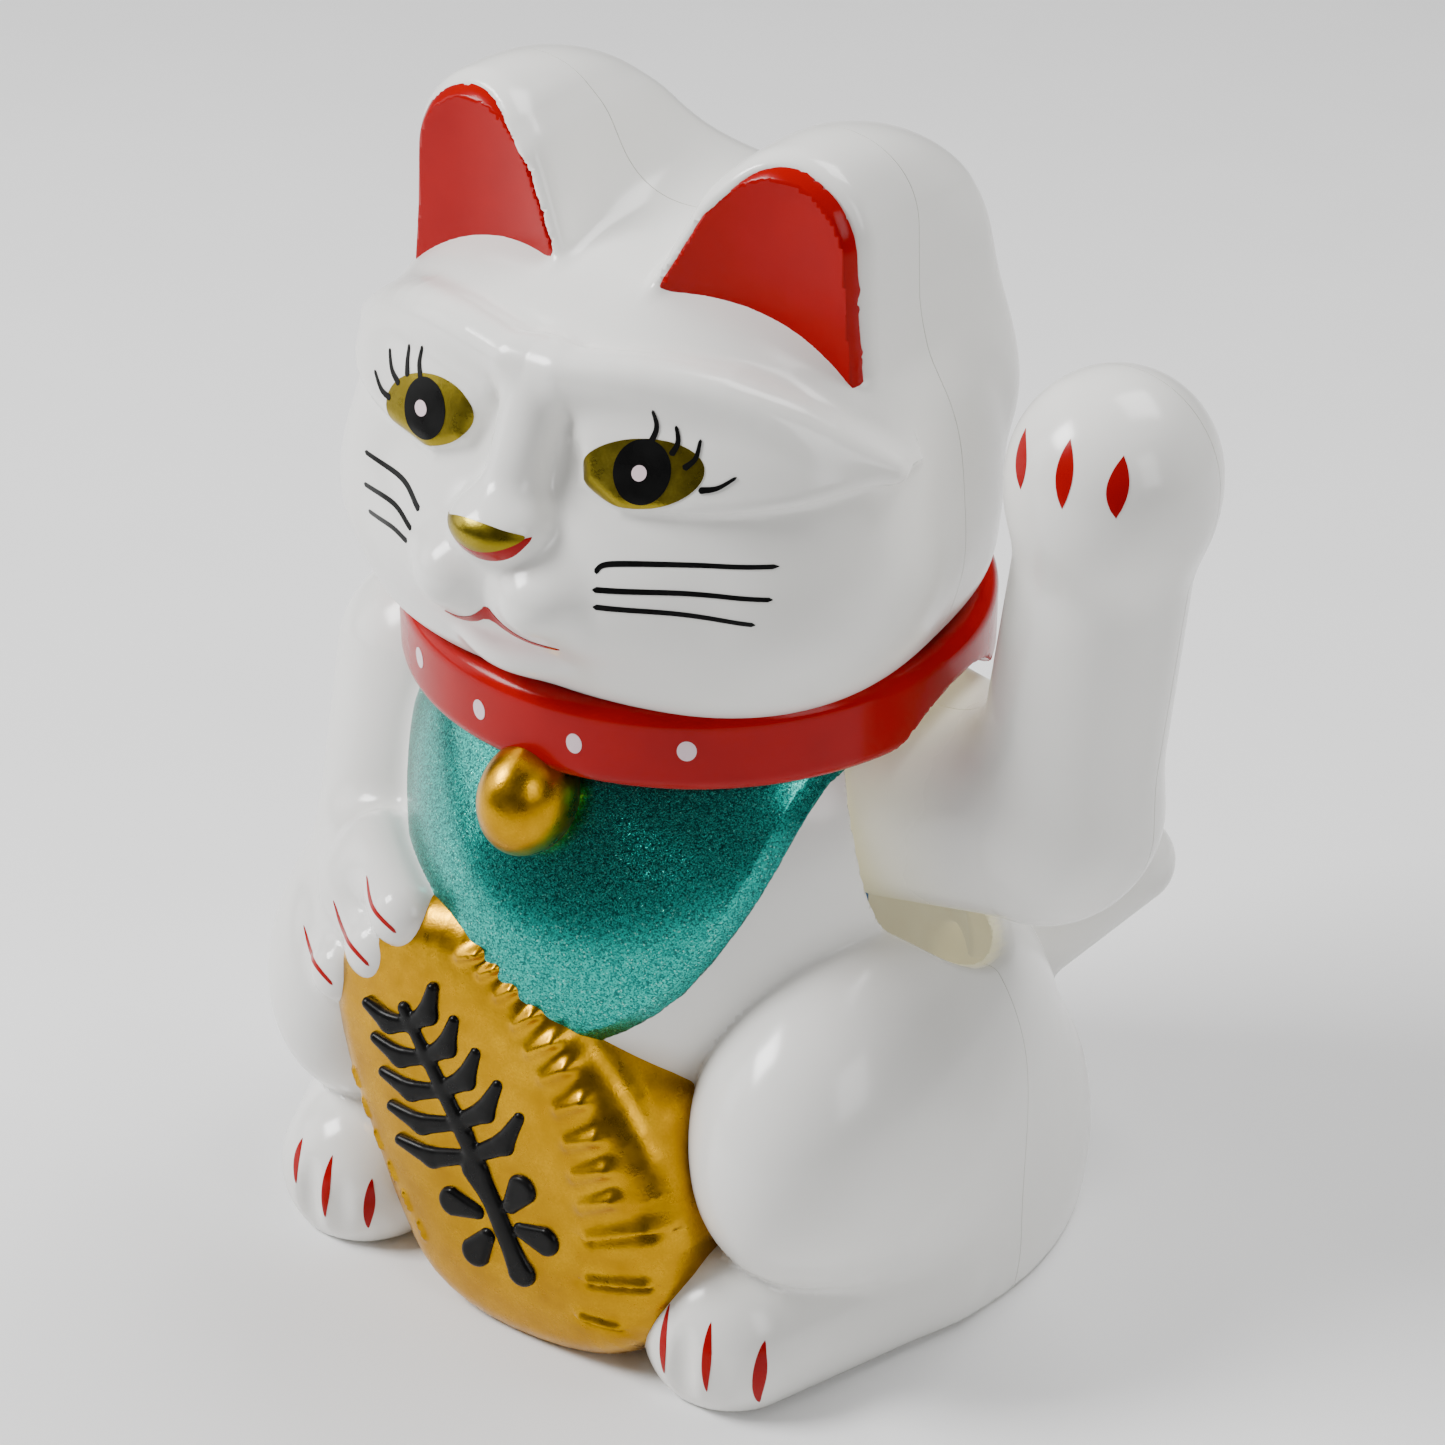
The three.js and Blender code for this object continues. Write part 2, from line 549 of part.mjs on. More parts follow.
// ---------------------------------------------------------------- leads
function lead(points, radius) {
  const path = new THREE.CatmullRomCurve3(points.map((p) => new THREE.Vector3(...p)));
  const section = new THREE.Shape().absarc(0, 0, radius, 0, 2 * Math.PI);
  return solid(new THREE.ExtrudeGeometry(section, { steps: 22, extrudePath: path, curveSegments: 4 }));
}

const TAG_Z = BAY.top + 6.8;
const LEAD_RADIUS = 0.6;
const COIL_LEAD_RADIUS = 0.35;
const LEAD_ROUTE = [
  [BAY.x - 0.5, CELL_Y, TAG_Z], [BAY.x - 0.2, CELL_Y + 7, TAG_Z + 1], [28.5, 0, 20], [25, 9, 14],
  [18, 15, 9], [BOARD.x - 1.5, 18, BOARD_TOP + GAP + LEAD_RADIUS],
];
const COIL_LEAD_ROUTE = [
  [0, AXLE_Y + 8.4, 16], [0, AXLE_Y + 9.6, 14], [0, BOARD.y0 - 1.4, 9], [0, BOARD.y0 + 1.6, BOARD_TOP + 1],
];
const flipped = (points) => points.map(([x, y, z]) => [-x, y, z]);
const shifted = (points, dx) => points.map(([x, y, z]) => [x + dx, y, z]);

// ---------------------------------------------------------------- assembly
const [armFront, armRear] = armShells();
const parts = [
  ["front_shell", frontShell, "white"],
  ["rear_shell", rearShell, "white"],
  ["base_plate", basePlate(), "white"],
  ["battery_door", batteryDoor(), "white"],
  ...[...FRONT_POSTS, ...REAR_POSTS].map(([x, y], i) => [`base_screw_${i + 1}`, baseScrew(x, y), "steel"]),
  ["battery_cell", batteryCell(), "label"],
  ["positive_contact", positiveContact(), "steel"],
  ["negative_contact_plate", contactPlate(-1), "steel"],
  ["negative_contact_spring", negativeSpring(), "steel"],
  ["drive_frame", driveFrame(), "frame"],
  ...FRAME_SCREWS.map(([x, y], i) => [`frame_screw_${i + 1}`, frameScrew(x, y), "steel"]),
  ["coil_bobbin", coilBobbin(), "inside"],
  ["coil_winding", coilWinding(), "copper"],
  ["circuit_board", circuitBoard(), "board"],
  ["transistor", transistor(), "black"],
  ["capacitor", capacitor(), "label"],
  ["resistor", resistor(), "inside"],
  ["red_lead", lead(LEAD_ROUTE, LEAD_RADIUS), "red"],
  ["black_lead", lead(flipped(LEAD_ROUTE), LEAD_RADIUS), "black"],
  ["coil_lead_1", lead(shifted(COIL_LEAD_ROUTE, COIL_X - 2), COIL_LEAD_RADIUS), "copper"],
  ["coil_lead_2", lead(shifted(COIL_LEAD_ROUTE, COIL_X + 2), COIL_LEAD_RADIUS), "copper"],
  ["arm_front_shell", armFront, "white"],
  ["arm_rear_shell", armRear, "white"],
  ["arm_hub", armHub(), "inside"],
  ["axle_pin", axlePin(), "steel"],
  ["axle_clip_inner", retainingClip(FRAME_X[0] - BAR / 2 - 1), "steel"],
  ["axle_clip_outer", retainingClip(FRAME_X[1] - BAR / 2 - 1), "steel"],
  ["pendulum_lever", pendulumLever(), "frame"],
  ["pendulum_magnet", pendulumMagnet(), "steel"],
  ["counterweight_left", counterweight(1), "steel"],
  ["counterweight_right", counterweight(-1), "steel"],
];

const cat = new THREE.Group();
for (const [name, body, finish] of parts) {
  const mesh = new THREE.Mesh(geometryOf(body), new THREE.MeshStandardMaterial(COLOURS[finish]));
  mesh.name = name;
  cat.add(mesh);
}

export default cat;
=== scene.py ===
"""Looks for the waving beckoning cat: moulded shells, sprayed paint, printed face and soft studio light."""
import json
import math

import bmesh
import bpy
import numpy as np
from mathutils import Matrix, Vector


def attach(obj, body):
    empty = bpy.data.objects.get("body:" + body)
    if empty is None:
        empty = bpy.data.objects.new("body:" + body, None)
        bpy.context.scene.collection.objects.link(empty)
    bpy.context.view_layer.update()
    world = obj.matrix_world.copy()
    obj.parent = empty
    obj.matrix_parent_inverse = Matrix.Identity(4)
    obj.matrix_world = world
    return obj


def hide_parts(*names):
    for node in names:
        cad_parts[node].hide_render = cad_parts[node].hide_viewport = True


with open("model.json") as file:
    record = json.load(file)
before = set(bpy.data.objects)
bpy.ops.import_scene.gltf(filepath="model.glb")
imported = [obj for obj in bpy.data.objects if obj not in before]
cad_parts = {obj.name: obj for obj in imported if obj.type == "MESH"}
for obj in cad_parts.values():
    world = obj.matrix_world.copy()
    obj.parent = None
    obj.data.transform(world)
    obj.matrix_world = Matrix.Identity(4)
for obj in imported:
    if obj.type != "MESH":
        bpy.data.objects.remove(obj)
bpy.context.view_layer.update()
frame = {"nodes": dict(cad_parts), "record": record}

MM = 0.001
NODES = frame["nodes"]

# ---------------------------------------------------------------- sizes, in millimetres
GRID = 0.7  # spacing of the shells' surface points
WALL = 2.2
ARM_WALL = 1.6
SEAM_Y = -2.0
SEAM_GAP = 0.12
ARM_SEAM_Y = 0.5
COLLAR_Z = 84.0
COLLAR_RADIUS = 33.0
COLLAR_FLAT = (1.0, 3.2)  # half the collar's thickness and height inside its rounded edges
COLLAR_ROUNDING = 2.2
NECK_RADIUS, NECK_Z, NECK_HALF_HEIGHT = 31.0, 87.5, 6.5
AXLE_Y, AXLE_Z = 2.0, 68.0
SLOT_HALF_Y, SLOT_HALF_Z = 16.5, 18.5
SLOT_DROP = 2.2  # the shoulder's opening is centred this far below the axle
SLOT_FROM_X = 22  # the opening cuts only what lies farther out than this
ARM_INNER_X = 24  # the arm's wall is open from here inwards
ARM_ROOT_TOP = 12.6  # the flat top of the arm's root, above the axle
PAINT_LIFT = 0.07
PRINT_LIFT = 0.05
EYE_LIFT = 0.09
SINK = 1.1  # the white shell runs this far under the painted forms
PAINT_DEPTH = 1.9
ARM_ROOT_SHADE_X = (32, 45)  # painted shade: the arm's root is painted cream at the first of these X and white from the second, where it goes into the shoulder
PAINT_SINK = 0.8  # the ears' hollows are this much deeper than their red floors


# ================================================================ the cat's form
# Each form takes points (..., 3) and gives signed distances, negative inside.
def blob(p, centre, radii, power=2.0):
    """An ellipsoid; a power above 2 makes it squarer."""
    q = np.abs(p - np.asarray(centre, np.float32)) / np.asarray(radii, np.float32)
    size = (q**power).sum(-1) ** (1 / power) + 1e-6
    steepness = ((q ** (power - 1) / np.asarray(radii, np.float32)) ** 2).sum(-1) ** 0.5
    return (size - 1) / (steepness / size ** (power - 1) + 1e-6)


def limb(p, a, b, ra, rb):
    """A round-ended bar from a to b whose radius goes from ra to rb."""
    a, b = np.asarray(a, np.float32), np.asarray(b, np.float32)
    along = np.clip(((p - a) @ (b - a)) / ((b - a) @ (b - a)), 0, 1)
    return np.linalg.norm(p - a - along[..., None] * (b - a), axis=-1) - (ra + (rb - ra) * along)


def blend(a, b, k):
    """Both forms joined, with the joint rounded over k."""
    h = np.maximum(k - np.abs(a - b), 0) / k
    return np.minimum(a, b) - h * h * k / 4


def cut(a, b, k):
    """What both forms share, with the edge rounded over k."""
    return -blend(-a, -b, k)


def mirrored(p):
    """The points on the cat's left, for shapes that both sides have."""
    return np.concatenate([np.abs(p[..., :1]), p[..., 1:]], -1)


def polygon(x, z, points):
    """Signed distance in a plane to a closed outline."""
    nearest, sign = np.full(x.shape, 1e9, np.float32), np.ones(x.shape, np.float32)
    for (ax, az), (bx, bz) in zip(points, [points[-1], *points[:-1]]):
        ex, ez, wx, wz = bx - ax, bz - az, x - ax, z - az
        t = np.clip((wx * ex + wz * ez) / (ex * ex + ez * ez), 0, 1)
        nearest = np.minimum(nearest, (wx - ex * t) ** 2 + (wz - ez * t) ** 2)
        above, below, left = z >= az, z < bz, ex * wz > ez * wx
        sign = np.where((above & below & left) | ~(above | below | left), -sign, sign)
    return sign * np.sqrt(nearest)


def near(form, p, low, high, reach=7.0):
    """The form's values close to the box it fills, and the distance to that box farther away."""
    away = np.linalg.norm(np.maximum(np.maximum(np.float32(low) - p, p - np.float32(high)), 0), axis=-1)
    close = away < reach
    values = away.astype(np.float32)
    if close.any():
        values[close] = form(p[close])
    return values


def curve_through(path, steps):
    """Evenly numbered points on a smooth curve through the path's points."""
    path = np.asarray(path, float)
    ends = np.concatenate([[2 * path[0] - path[1]], path, [2 * path[-1] - path[-2]]])
    made = []
    for t in np.linspace(0, len(path) - 1, steps):
        i = min(int(t), len(path) - 2)
        f = t - i
        a, b, c, d = ends[i:i + 4]
        bend, twist = 2 * a - 5 * b + 4 * c - d, 3 * b - a - 3 * c + d
        made.append(0.5 * (2 * b + (c - a) * f + bend * f**2 + twist * f**3))
    return np.array(made)


def closed_curve(path, steps):
    """A smooth closed outline through the path's points."""
    loop = curve_through([*path[-2:], *path, *path[:2]], (len(path) + 3) * steps + 1)
    return loop[2 * steps:(len(path) + 2) * steps].tolist()


EAR_OUTLINE = [(22.5, 116), (21, 133), (20.7, 141), (19.2, 139.5), (11.5, 124)]
DISH_OUTLINE = [
    (24, 112), (23.7, 134), (22.9, 141), (21.6, 141.8), (18.5, 138.5), (13.5, 129), (9, 118),
]
DISH_ROUNDING = 7.0
DISH_FLOOR_Y = -14.3


def dish_floor(m):
    """The Y of the hollow's floor, which comes forward towards the middle of the head."""
    return DISH_FLOOR_Y - 0.013 * np.maximum(24.5 - m[..., 0], 0) ** 2


def ear_dish(m):
    """The hollow in the front of an ear, whose floor is sprayed red."""
    outline = polygon(m[..., 0], m[..., 2], DISH_OUTLINE) - DISH_ROUNDING
    return cut(outline, m[..., 1] - dish_floor(m) - PAINT_SINK, 1.0)


def ear_form(m):
    """An ear, deeper towards the middle of the head, with its back sloped off."""
    outline = polygon(m[..., 0], m[..., 2], EAR_OUTLINE) - 10
    forward = 0.0065 * np.clip(24.5 - m[..., 0], 0, 18) ** 2
    thickness = np.abs(m[..., 1] + forward - 0.5 - (m[..., 2] - 125) * 0.04) - 18.0 - forward
    back_slope = (m[..., 1] - 6.5) * 0.64 + (m[..., 2] - 150.8) * 0.768
    return cut(cut(outline, thickness, 7), back_slope, 10)


# The ridge over an eye, from the nose out to the pointed temple: X, Y, Z and radius along it.
BROW = curve_through([
    (3.6, -30.7, 127.6, 2.9), (12, -28.4, 128.0, 2.8), (20.5, -24.7, 126.9, 2.5),
    (27, -21.0, 124.1, 2.1), (36.4, -15.0, 118.8, 0.9),
], 13)
# The raised field round an eye, in X and Z: brow, temple corner and lower lid.
EYE_FIELD = [
    (4.5, 129), (12, 129.8), (20.9, 128.8), (27, 126.0), (32, 122.8), (38.5, 118.2),
    (30, 116.6), (21, 115.6), (13, 115.0), (7.8, 117.0), (5.4, 121),
]
EYE_FIELD_RISE = 1.6
EYE_FIELD_BACK_Y = -10.0
CROWN_Z = 136.2  # the level that the face's top stops at


def brow_form(m):
    """A chain of bars along the brow."""
    d = limb(m, BROW[0][:3], BROW[1][:3], BROW[0][3], BROW[1][3])
    for a, b in zip(BROW[1:], BROW[2:]):
        d = np.minimum(d, limb(m, a[:3], b[:3], a[3], b[3]))
    return d


def face_form(p, m):
    """The face that stands out of the hood."""
    d = blob(p, (0, -3, 109.5), (37.5, 30.5, 26.2), 2.5)
    d = blend(d, blob(p, (0, -2, 98.5), (34, 31.5, 14.5), 2.5), 6)
    d = blend(d, blob(m, (15, -13, 102), (22, 21, 15)), 8)
    d = cut(d, p[..., 2] - CROWN_Z, 1.0)
    field = cut(polygon(m[..., 0], m[..., 2], EYE_FIELD), d - EYE_FIELD_RISE, 2.0)
    d = blend(d, np.maximum(field, m[..., 1] - EYE_FIELD_BACK_Y), 1.0)
    d = blend(d, near(brow_form, m, (1, -34, 117), (38, -13, 131)), 3)
    d = blend(d, limb(p, (0, -37.6, 112.6), (0, -29.9, 127), 3.3, 3.7), 2.4)
    d = cut(d, -blob(m, (6.3, -38.0, 121.0), (2.0, 5.0, 5.8)), 2.0)
    d = blend(d, blob(p, (0, -30.2, 103.5), (19, 11.4, 9.5)), 7)
    d = blend(d, blob(m, (5.8, -35.3, 104.4), (6.6, 8.6, 5.7)), 1.6)
    d = blend(d, blob(p, (0, -38.7, 112.0), (5.8, 5.3, 3.5)), 2.2)
    d = blend(d, blob(p, (0, -2.5, 94.5), (34.2, 33.2, 9.0), 2.5), 4)
    return blend(d, blob(p, (0, -32.0, 95.5), (9.8, 7.8, 5.0)), 1.4)


def head_form(p):
    """The hood with its ears and their hollows, and the face."""
    m = mirrored(p)
    hood = blend(blob(p, (0, 5, 114), (35, 27.5, 22.8), 2.2), ear_form(m), 6)
    hood = cut(hood, -limb(m, (43.5, 3, 117), (42.5, 4, 90), 8.0, 8.0), 6)
    hood = cut(hood, -ear_dish(m), 3.0)
    return blend(hood, face_form(p, m), 1.0)


KOBAN_OUTLINE = closed_curve([
    (-11.2, 3.0), (-16.2, 9.6), (-20.6, 19), (-25.0, 30), (-26.7, 40.5), (-22.3, 50), (-12.5, 55.2),
    (-4, 54.8), (4, 49.6), (11.5, 42.8), (18.5, 35.2), (23.4, 25), (23.2, 12.5), (18.5, 4.2),
    (9.5, 0.4), (-2.5, -0.2),
], 3)
KOBAN_ROUNDING = 1.5
KOBAN_FRONT_Y = -46.5
KOBAN_BACK_Y = -20.0
KOBAN_LEAN = 0.074  # how far the coin's face leans back for each millimetre up


def koban_face(p):
    """Depth behind the coin's leaning front plane."""
    return KOBAN_FRONT_Y + (p[..., 2] - 2) * KOBAN_LEAN - p[..., 1]


# Flutes round the coin's edge: the inner and outer end of each, in X and Z, and its radius.
FLUTES = [
    ((-6.3, 52.4), (-3.9, 53.6), 0.7), ((-3.0, 51.2), (-1.3, 52.5), 0.7),
    ((-0.3, 49.1), (1.2, 50.5), 0.8),
    ((2.4, 46.2), (4.2, 48.0), 0.8), ((4.6, 43.4), (7.2, 45.5), 0.9), ((6.8, 40.6), (9.4, 42.7), 1.0),
    ((9.2, 37.2), (12.0, 39.2), 1.0), ((10.9, 33.2), (14.3, 35.1), 1.05),
    ((12.2, 29.2), (16.0, 31.4), 1.1), ((13.4, 25.4), (17.2, 27.6), 1.1),
]
NOTCHES = [
    ((14.6, 21.2), (21.4, 24.2), 1.5), ((14.8, 14.9), (21.6, 16.4), 1.2), ((13.6, 8.8), (18.2, 8.9), 0.9),
]
FLUTE_HEIGHT, NOTCH_DEPTH, DASH_HEIGHT, DASH_RADIUS = 0.95, 0.65, 0.4, 0.45
# Small dashes along the coin's far edge: their middles, in X and Z.
DASHES = [(-22.8, 28.2), (-21.2, 24.4), (-19.1, 20.6), (-16.7, 17.0), (-14.2, 13.6), (-11.7, 10.4)]


def coin_relief(p):
    """How far the coin's edge stands out at each point, for its flutes, notches and dashes."""
    x, z = p[..., 0], p[..., 2]
    height = np.zeros(x.shape, np.float32)
    flat = np.stack([x, z], -1)

    def across(a, b):
        a, b = np.asarray(a, np.float32), np.asarray(b, np.float32)
        t = np.clip(((flat - a) @ (b - a)) / ((b - a) @ (b - a)), 0, 1)
        away = flat - a - t[..., None] * (b - a)
        return np.linalg.norm(away, axis=-1), np.sign(away[..., 1]), t

    for a, b, radius in FLUTES:
        away, _, t = across(a, b)
        height += FLUTE_HEIGHT * np.exp(-((away / (1.05 * radius)) ** 2)) * (0.5 + 0.5 * t)
    for a, b, radius in NOTCHES:
        away, side, _ = across(a, b)
        height += NOTCH_DEPTH * np.exp(-((away / radius) ** 2)) * side
    for cx, cz in DASHES:
        away, _, _ = across((cx - 0.5, cz + 0.9), (cx + 0.4, cz - 0.9))
        height += DASH_HEIGHT * np.exp(-((away / DASH_RADIUS) ** 2))
    return height


BEVEL_WIDTH, BEVEL_DROP, BEVEL_LENGTH = 6.5, 3.0, 7.2


def koban_form(p, relief=0.0):
    """The coin, a leaning oval plate with a broad bevel; a relief raises its face."""
    def whole(q):
        outline = polygon(q[..., 0], q[..., 2], KOBAN_OUTLINE) - KOBAN_ROUNDING
        front = koban_face(q)
        rim = ((outline + BEVEL_WIDTH) * BEVEL_DROP + front * BEVEL_WIDTH) / BEVEL_LENGTH
        return np.maximum(cut(outline, cut(front, rim, 4.0), 5.0), q[..., 1] - KOBAN_BACK_Y)

    return near(whole, p, (-29, -48, -2), (26, -20, 58)) - relief


def bell_form(p):
    return blob(p, (0.3, -35.5, 74.3), (5.4, 7.0, 7.0))


def collar_form(p):
    """The collar, a ring with rounded edges."""
    radius = np.hypot(p[..., 0], p[..., 1])
    across, up = np.abs(radius - COLLAR_RADIUS), np.abs(p[..., 2] - COLLAR_Z)
    q = np.stack([across - COLLAR_FLAT[0], up - COLLAR_FLAT[1]], -1)
    return np.linalg.norm(np.maximum(q, 0), axis=-1) + np.minimum(q.max(-1), 0) - COLLAR_ROUNDING


TOES = [
    ((-27, -30, 54.5), (-16.8, -38.6, 53.2)), ((-31, -28, 49), (-20.8, -38.8, 46.6)),
    ((-35, -26, 43), (-27.2, -38.2, 40.6)),
]


def foreleg_form(p):
    """The right foreleg, whose toes hold the coin."""
    upper = limb(p, (-34.4, -6.5, 68), (-34.4, -16, 50), 14.0, 11.2)
    d = blend(upper, limb(p, (-32.5, -22, 47), (-27, -30, 48.5), 9.5, 8.2), 3)
    toes = limb(p, *TOES[0], 4.0, 4.3)
    for a, b in TOES[1:]:
        toes = blend(toes, limb(p, a, b, 4.0, 4.3), 0.8)
    return blend(d, toes, 3)


def torso_form(p):
    d = blend(blob(p, (0, 2, 20), (38, 34.5, 57)), blob(p, (0, -2, 62), (36, 31, 28)), 15)
    return blend(d, blob(p, (0, -12, 50), (26, 28, 25)), 9)


TOE_GROOVES_X = (27.6, 33.8, -25.2, -30.6)
RIGHT_FOOT_OUT = 1.8


def foot_form(p, m):
    """Both feet; the right one stands a little farther out."""
    out = np.where(p[..., 0] < 0, RIGHT_FOOT_OUT, 0.0)
    inward = np.stack([m[..., 0] - out, m[..., 1], m[..., 2]], -1)
    foot = limb(inward, (27.7, -33.5, 6.5), (37, -8, 6), 11.2, 12)
    for x in TOE_GROOVES_X:
        foot = cut(foot, -limb(p, (x, -46.4, 0), (x, -44.8, 12.0), 2.6, 1.4), 1.2)
    return foot


def body_form(p):
    m = mirrored(p)
    thigh = blob(m, (32.6, -9.5, 31), (17.8, 31.5, 24.2))
    hip = blob(m, (31, 4, 8), (19.5, 30, 30))
    d = blend(torso_form(p), blend(thigh, hip, 7), 0.8)
    d = blend(d, foot_form(p, m), 1.0)
    d = blend(d, foreleg_form(p), 2.2)
    return blend(d, limb(p, (22, 28, 20), (42, 37, 41), 8, 6), 3)


def neck_form(p):
    """A plain round neck that fills the collar's ring."""
    side = np.hypot(p[..., 0], p[..., 1]) - NECK_RADIUS
    return cut(side, np.abs(p[..., 2] - NECK_Z) - NECK_HALF_HEIGHT, 2)


def figure_form(p, sink=0.0):
    """The whole figure; the painted forms can be sunk under their paint."""
    d = blend(body_form(p), head_form(p), 2)
    d = blend(d, neck_form(p), 2)
    d = blend(d, bib_form(p) + sink, 0.4)
    d = blend(d, koban_form(p) + sink, 0.4)
    d = blend(d, collar_form(p) + sink, 0.4)
    return blend(d, bell_form(p) + sink, 0.3)


BIB_OUTLINE = closed_curve([
    (-34, 86), (-33.5, 77.5), (-32, 71), (-27.5, 60.5), (-18, 50), (-8, 43.5), (1, 41.2), (8, 42.8),
    (14.3, 46.4), (20, 51.8), (24.4, 60), (26.8, 67), (28.6, 75), (31.5, 86),
], 2)
BIB_RISE = 0.7


def bib_edge(p):
    return polygon(p[..., 0], p[..., 2], BIB_OUTLINE)


def bib_form(p):
    """The bib, a low swelling of the chest inside its outline."""
    rise = BIB_RISE * np.clip(-bib_edge(p) / 2.2, -1, 1)
    return np.maximum(torso_form(p) - rise, p[..., 1] + 8)


def slot_form(p):
    """The opening in the left shoulder."""
    oval = np.hypot((p[..., 1] - AXLE_Y) / SLOT_HALF_Y, (p[..., 2] - AXLE_Z + SLOT_DROP) / SLOT_HALF_Z)
    return np.maximum((oval - 1) * SLOT_HALF_Y, SLOT_FROM_X - p[..., 0])


def arm_form(p):
    """The raised arm, its paw and the root that enters the shoulder."""
    d = limb(p, (51.5, 0, 74), (55.7, -1, 112), 10.8, 10)
    d = blend(d, blob(p, (56.3, -2, 118), (11.9, 12.4, 12.6)), 4)
    root = limb(p, (30, AXLE_Y, AXLE_Z), (48, 1, AXLE_Z + 0.5), 15.2, 12.0)
    return blend(d, cut(root, p[..., 2] - AXLE_Z - ARM_ROOT_TOP, 5), 8)


def shell_form(p):
    """The figure's wall, open at the left shoulder and cut level at the floor."""
    outer = figure_form(p, SINK)
    wall = cut(outer, -(outer + WALL), 0.4)
    wall = cut(wall, -slot_form(p), 0.7)
    return cut(wall, -p[..., 2], 0.5)


def arm_shell_form(p):
    """The arm's wall, open at its inner end."""
    outer = arm_form(p)
    return cut(cut(outer, -(outer + ARM_WALL), 0.4), ARM_INNER_X - p[..., 0], 0.4)


# ================================================================ meshing
BLOCK = 12  # grid points along each side of a block
BATCH = 64  # blocks that are worked out together
CAST_STEPS = 90
CAST_SHARE = 0.7  # share of the known distance that a cast ray advances by


def sample(form, low, high, step):
    """The form's values on a grid, worked out only in the blocks that its surface may cross."""
    count = np.ceil((np.asarray(high) - low) / step / BLOCK).astype(int)
    values = np.empty(tuple(count * BLOCK), np.float32)
    corners = np.stack(np.meshgrid(*[np.arange(c) for c in count], indexing="ij"), -1).reshape(-1, 3)
    centres = low + (corners * BLOCK + BLOCK / 2) * step
    middle = form(centres.astype(np.float32))
    for corner, value in zip(corners, middle):
        x, y, z = corner * BLOCK
        values[x:x + BLOCK, y:y + BLOCK, z:z + BLOCK] = value
    active = corners[np.abs(middle) < BLOCK * step * 1.3 + 1]
    ticks = np.stack(np.meshgrid(*[np.arange(BLOCK)] * 3, indexing="ij"), -1)
    for start in range(0, len(active), BATCH):
        batch = active[start:start + BATCH]
        index = batch[:, None, None, None, :] * BLOCK + ticks
        points = (low + index * step).astype(np.float32)
        values[index[..., 0], index[..., 1], index[..., 2]] = form(points)
    return values


def surface(form, low, high, step):
    """Points and four-sided faces of the form's surface, one point for each grid cell that it crosses."""
    low = np.asarray(low, float)
    values = sample(form, low, high, step)
    n = values.shape
    inside = values < 0
    corners = [(a, b, c) for a in (0, 1) for b in (0, 1) for c in (0, 1)]
    filled = sum(
        inside[a:n[0] - 1 + a, b:n[1] - 1 + b, c:n[2] - 1 + c].astype(np.int8) for a, b, c in corners)
    crossed = (filled > 0) & (filled < 8)
    number = np.full(crossed.shape, -1)
    cells = np.argwhere(crossed)
    number[crossed] = np.arange(len(cells))
    total, hits = np.zeros((len(cells), 3)), np.zeros(len(cells))
    for corner in corners:
        for axis in range(3):
            if corner[axis]:
                continue
            other = [c + (k == axis) for k, c in enumerate(corner)]
            a = values[tuple((cells + corner).T)]
            b = values[tuple((cells + other).T)]
            change = (a < 0) != (b < 0)
            t = np.where(change, a / np.where(change, a - b, 1), 0)
            for k in range(3):
                total[:, k] += np.where(change, corner[k] + (t if k == axis else 0), 0)
            hits += change
    points = low + step * (cells + total / hits[:, None])
    faces = []
    for axis in range(3):
        u, v = [k for k in range(3) if k != axis]
        here = tuple(slice(1, n[k] - 1) if k != axis else slice(0, n[k] - 1) for k in range(3))
        there = tuple(slice(1, n[k] - 1) if k != axis else slice(1, n[k]) for k in range(3))
        edge = np.argwhere(inside[here] != inside[there])
        starts_inside = inside[here][tuple(edge.T)]
        edge[:, u] += 1
        edge[:, v] += 1
        ring = []
        for du, dv in ((1, 1), (0, 1), (0, 0), (1, 0)):
            cell = edge.copy()
            cell[:, u] -= du
            cell[:, v] -= dv
            ring.append(number[tuple(cell.T)])
        quad = np.stack(ring, 1)
        keep = starts_inside if axis != 1 else ~starts_inside
        quad[~keep] = quad[~keep][:, ::-1]
        faces.append(quad)
    return settle(form, points), np.concatenate(faces)


def slope(form, points, reach=0.05):
    steps = np.eye(3, dtype=np.float32) * reach
    return np.stack([form(points + s) - form(points - s) for s in steps], -1) / (2 * reach)


def settle(form, points, rounds=3):
    """Moves points that are near the form's surface onto it."""
    points = points.astype(np.float32)
    for _ in range(rounds):
        g = slope(form, points)
        points = points - (form(points) * 0.9 / np.maximum((g * g).sum(-1), 0.1))[:, None] * g
    return points


def normals(form, points):
    g = slope(form, points.astype(np.float32))
    return g / np.maximum(np.linalg.norm(g, axis=-1, keepdims=True), 1e-6)


def cast(form, starts, ways, reach):
    """Where rays from starts along ways first meet the form."""
    starts, ways = np.asarray(starts, np.float32), np.asarray(ways, np.float32)
    t = np.zeros(len(starts), np.float32)
    for _ in range(CAST_STEPS):
        t = np.minimum(t + np.maximum(form(starts + ways * t[:, None]) * CAST_SHARE, 0), reach)
    return starts + ways * t[:, None]


# ================================================================ pieces
def make(name, points, faces, material, body, slot, sharp=math.radians(40)):
    mesh = bpy.data.meshes.new(name)
    mesh.from_pydata((np.asarray(points, float) * MM).tolist(), [], [list(map(int, f)) for f in faces])
    mesh.update()
    mesh.polygons.foreach_set("use_smooth", [True] * len(mesh.polygons))
    mesh.set_sharp_from_angle(angle=sharp)
    mesh.materials.append(material)
    piece = bpy.data.objects.new(name, mesh)
    bpy.context.scene.collection.objects.link(piece)
    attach(piece, body)
    return piece


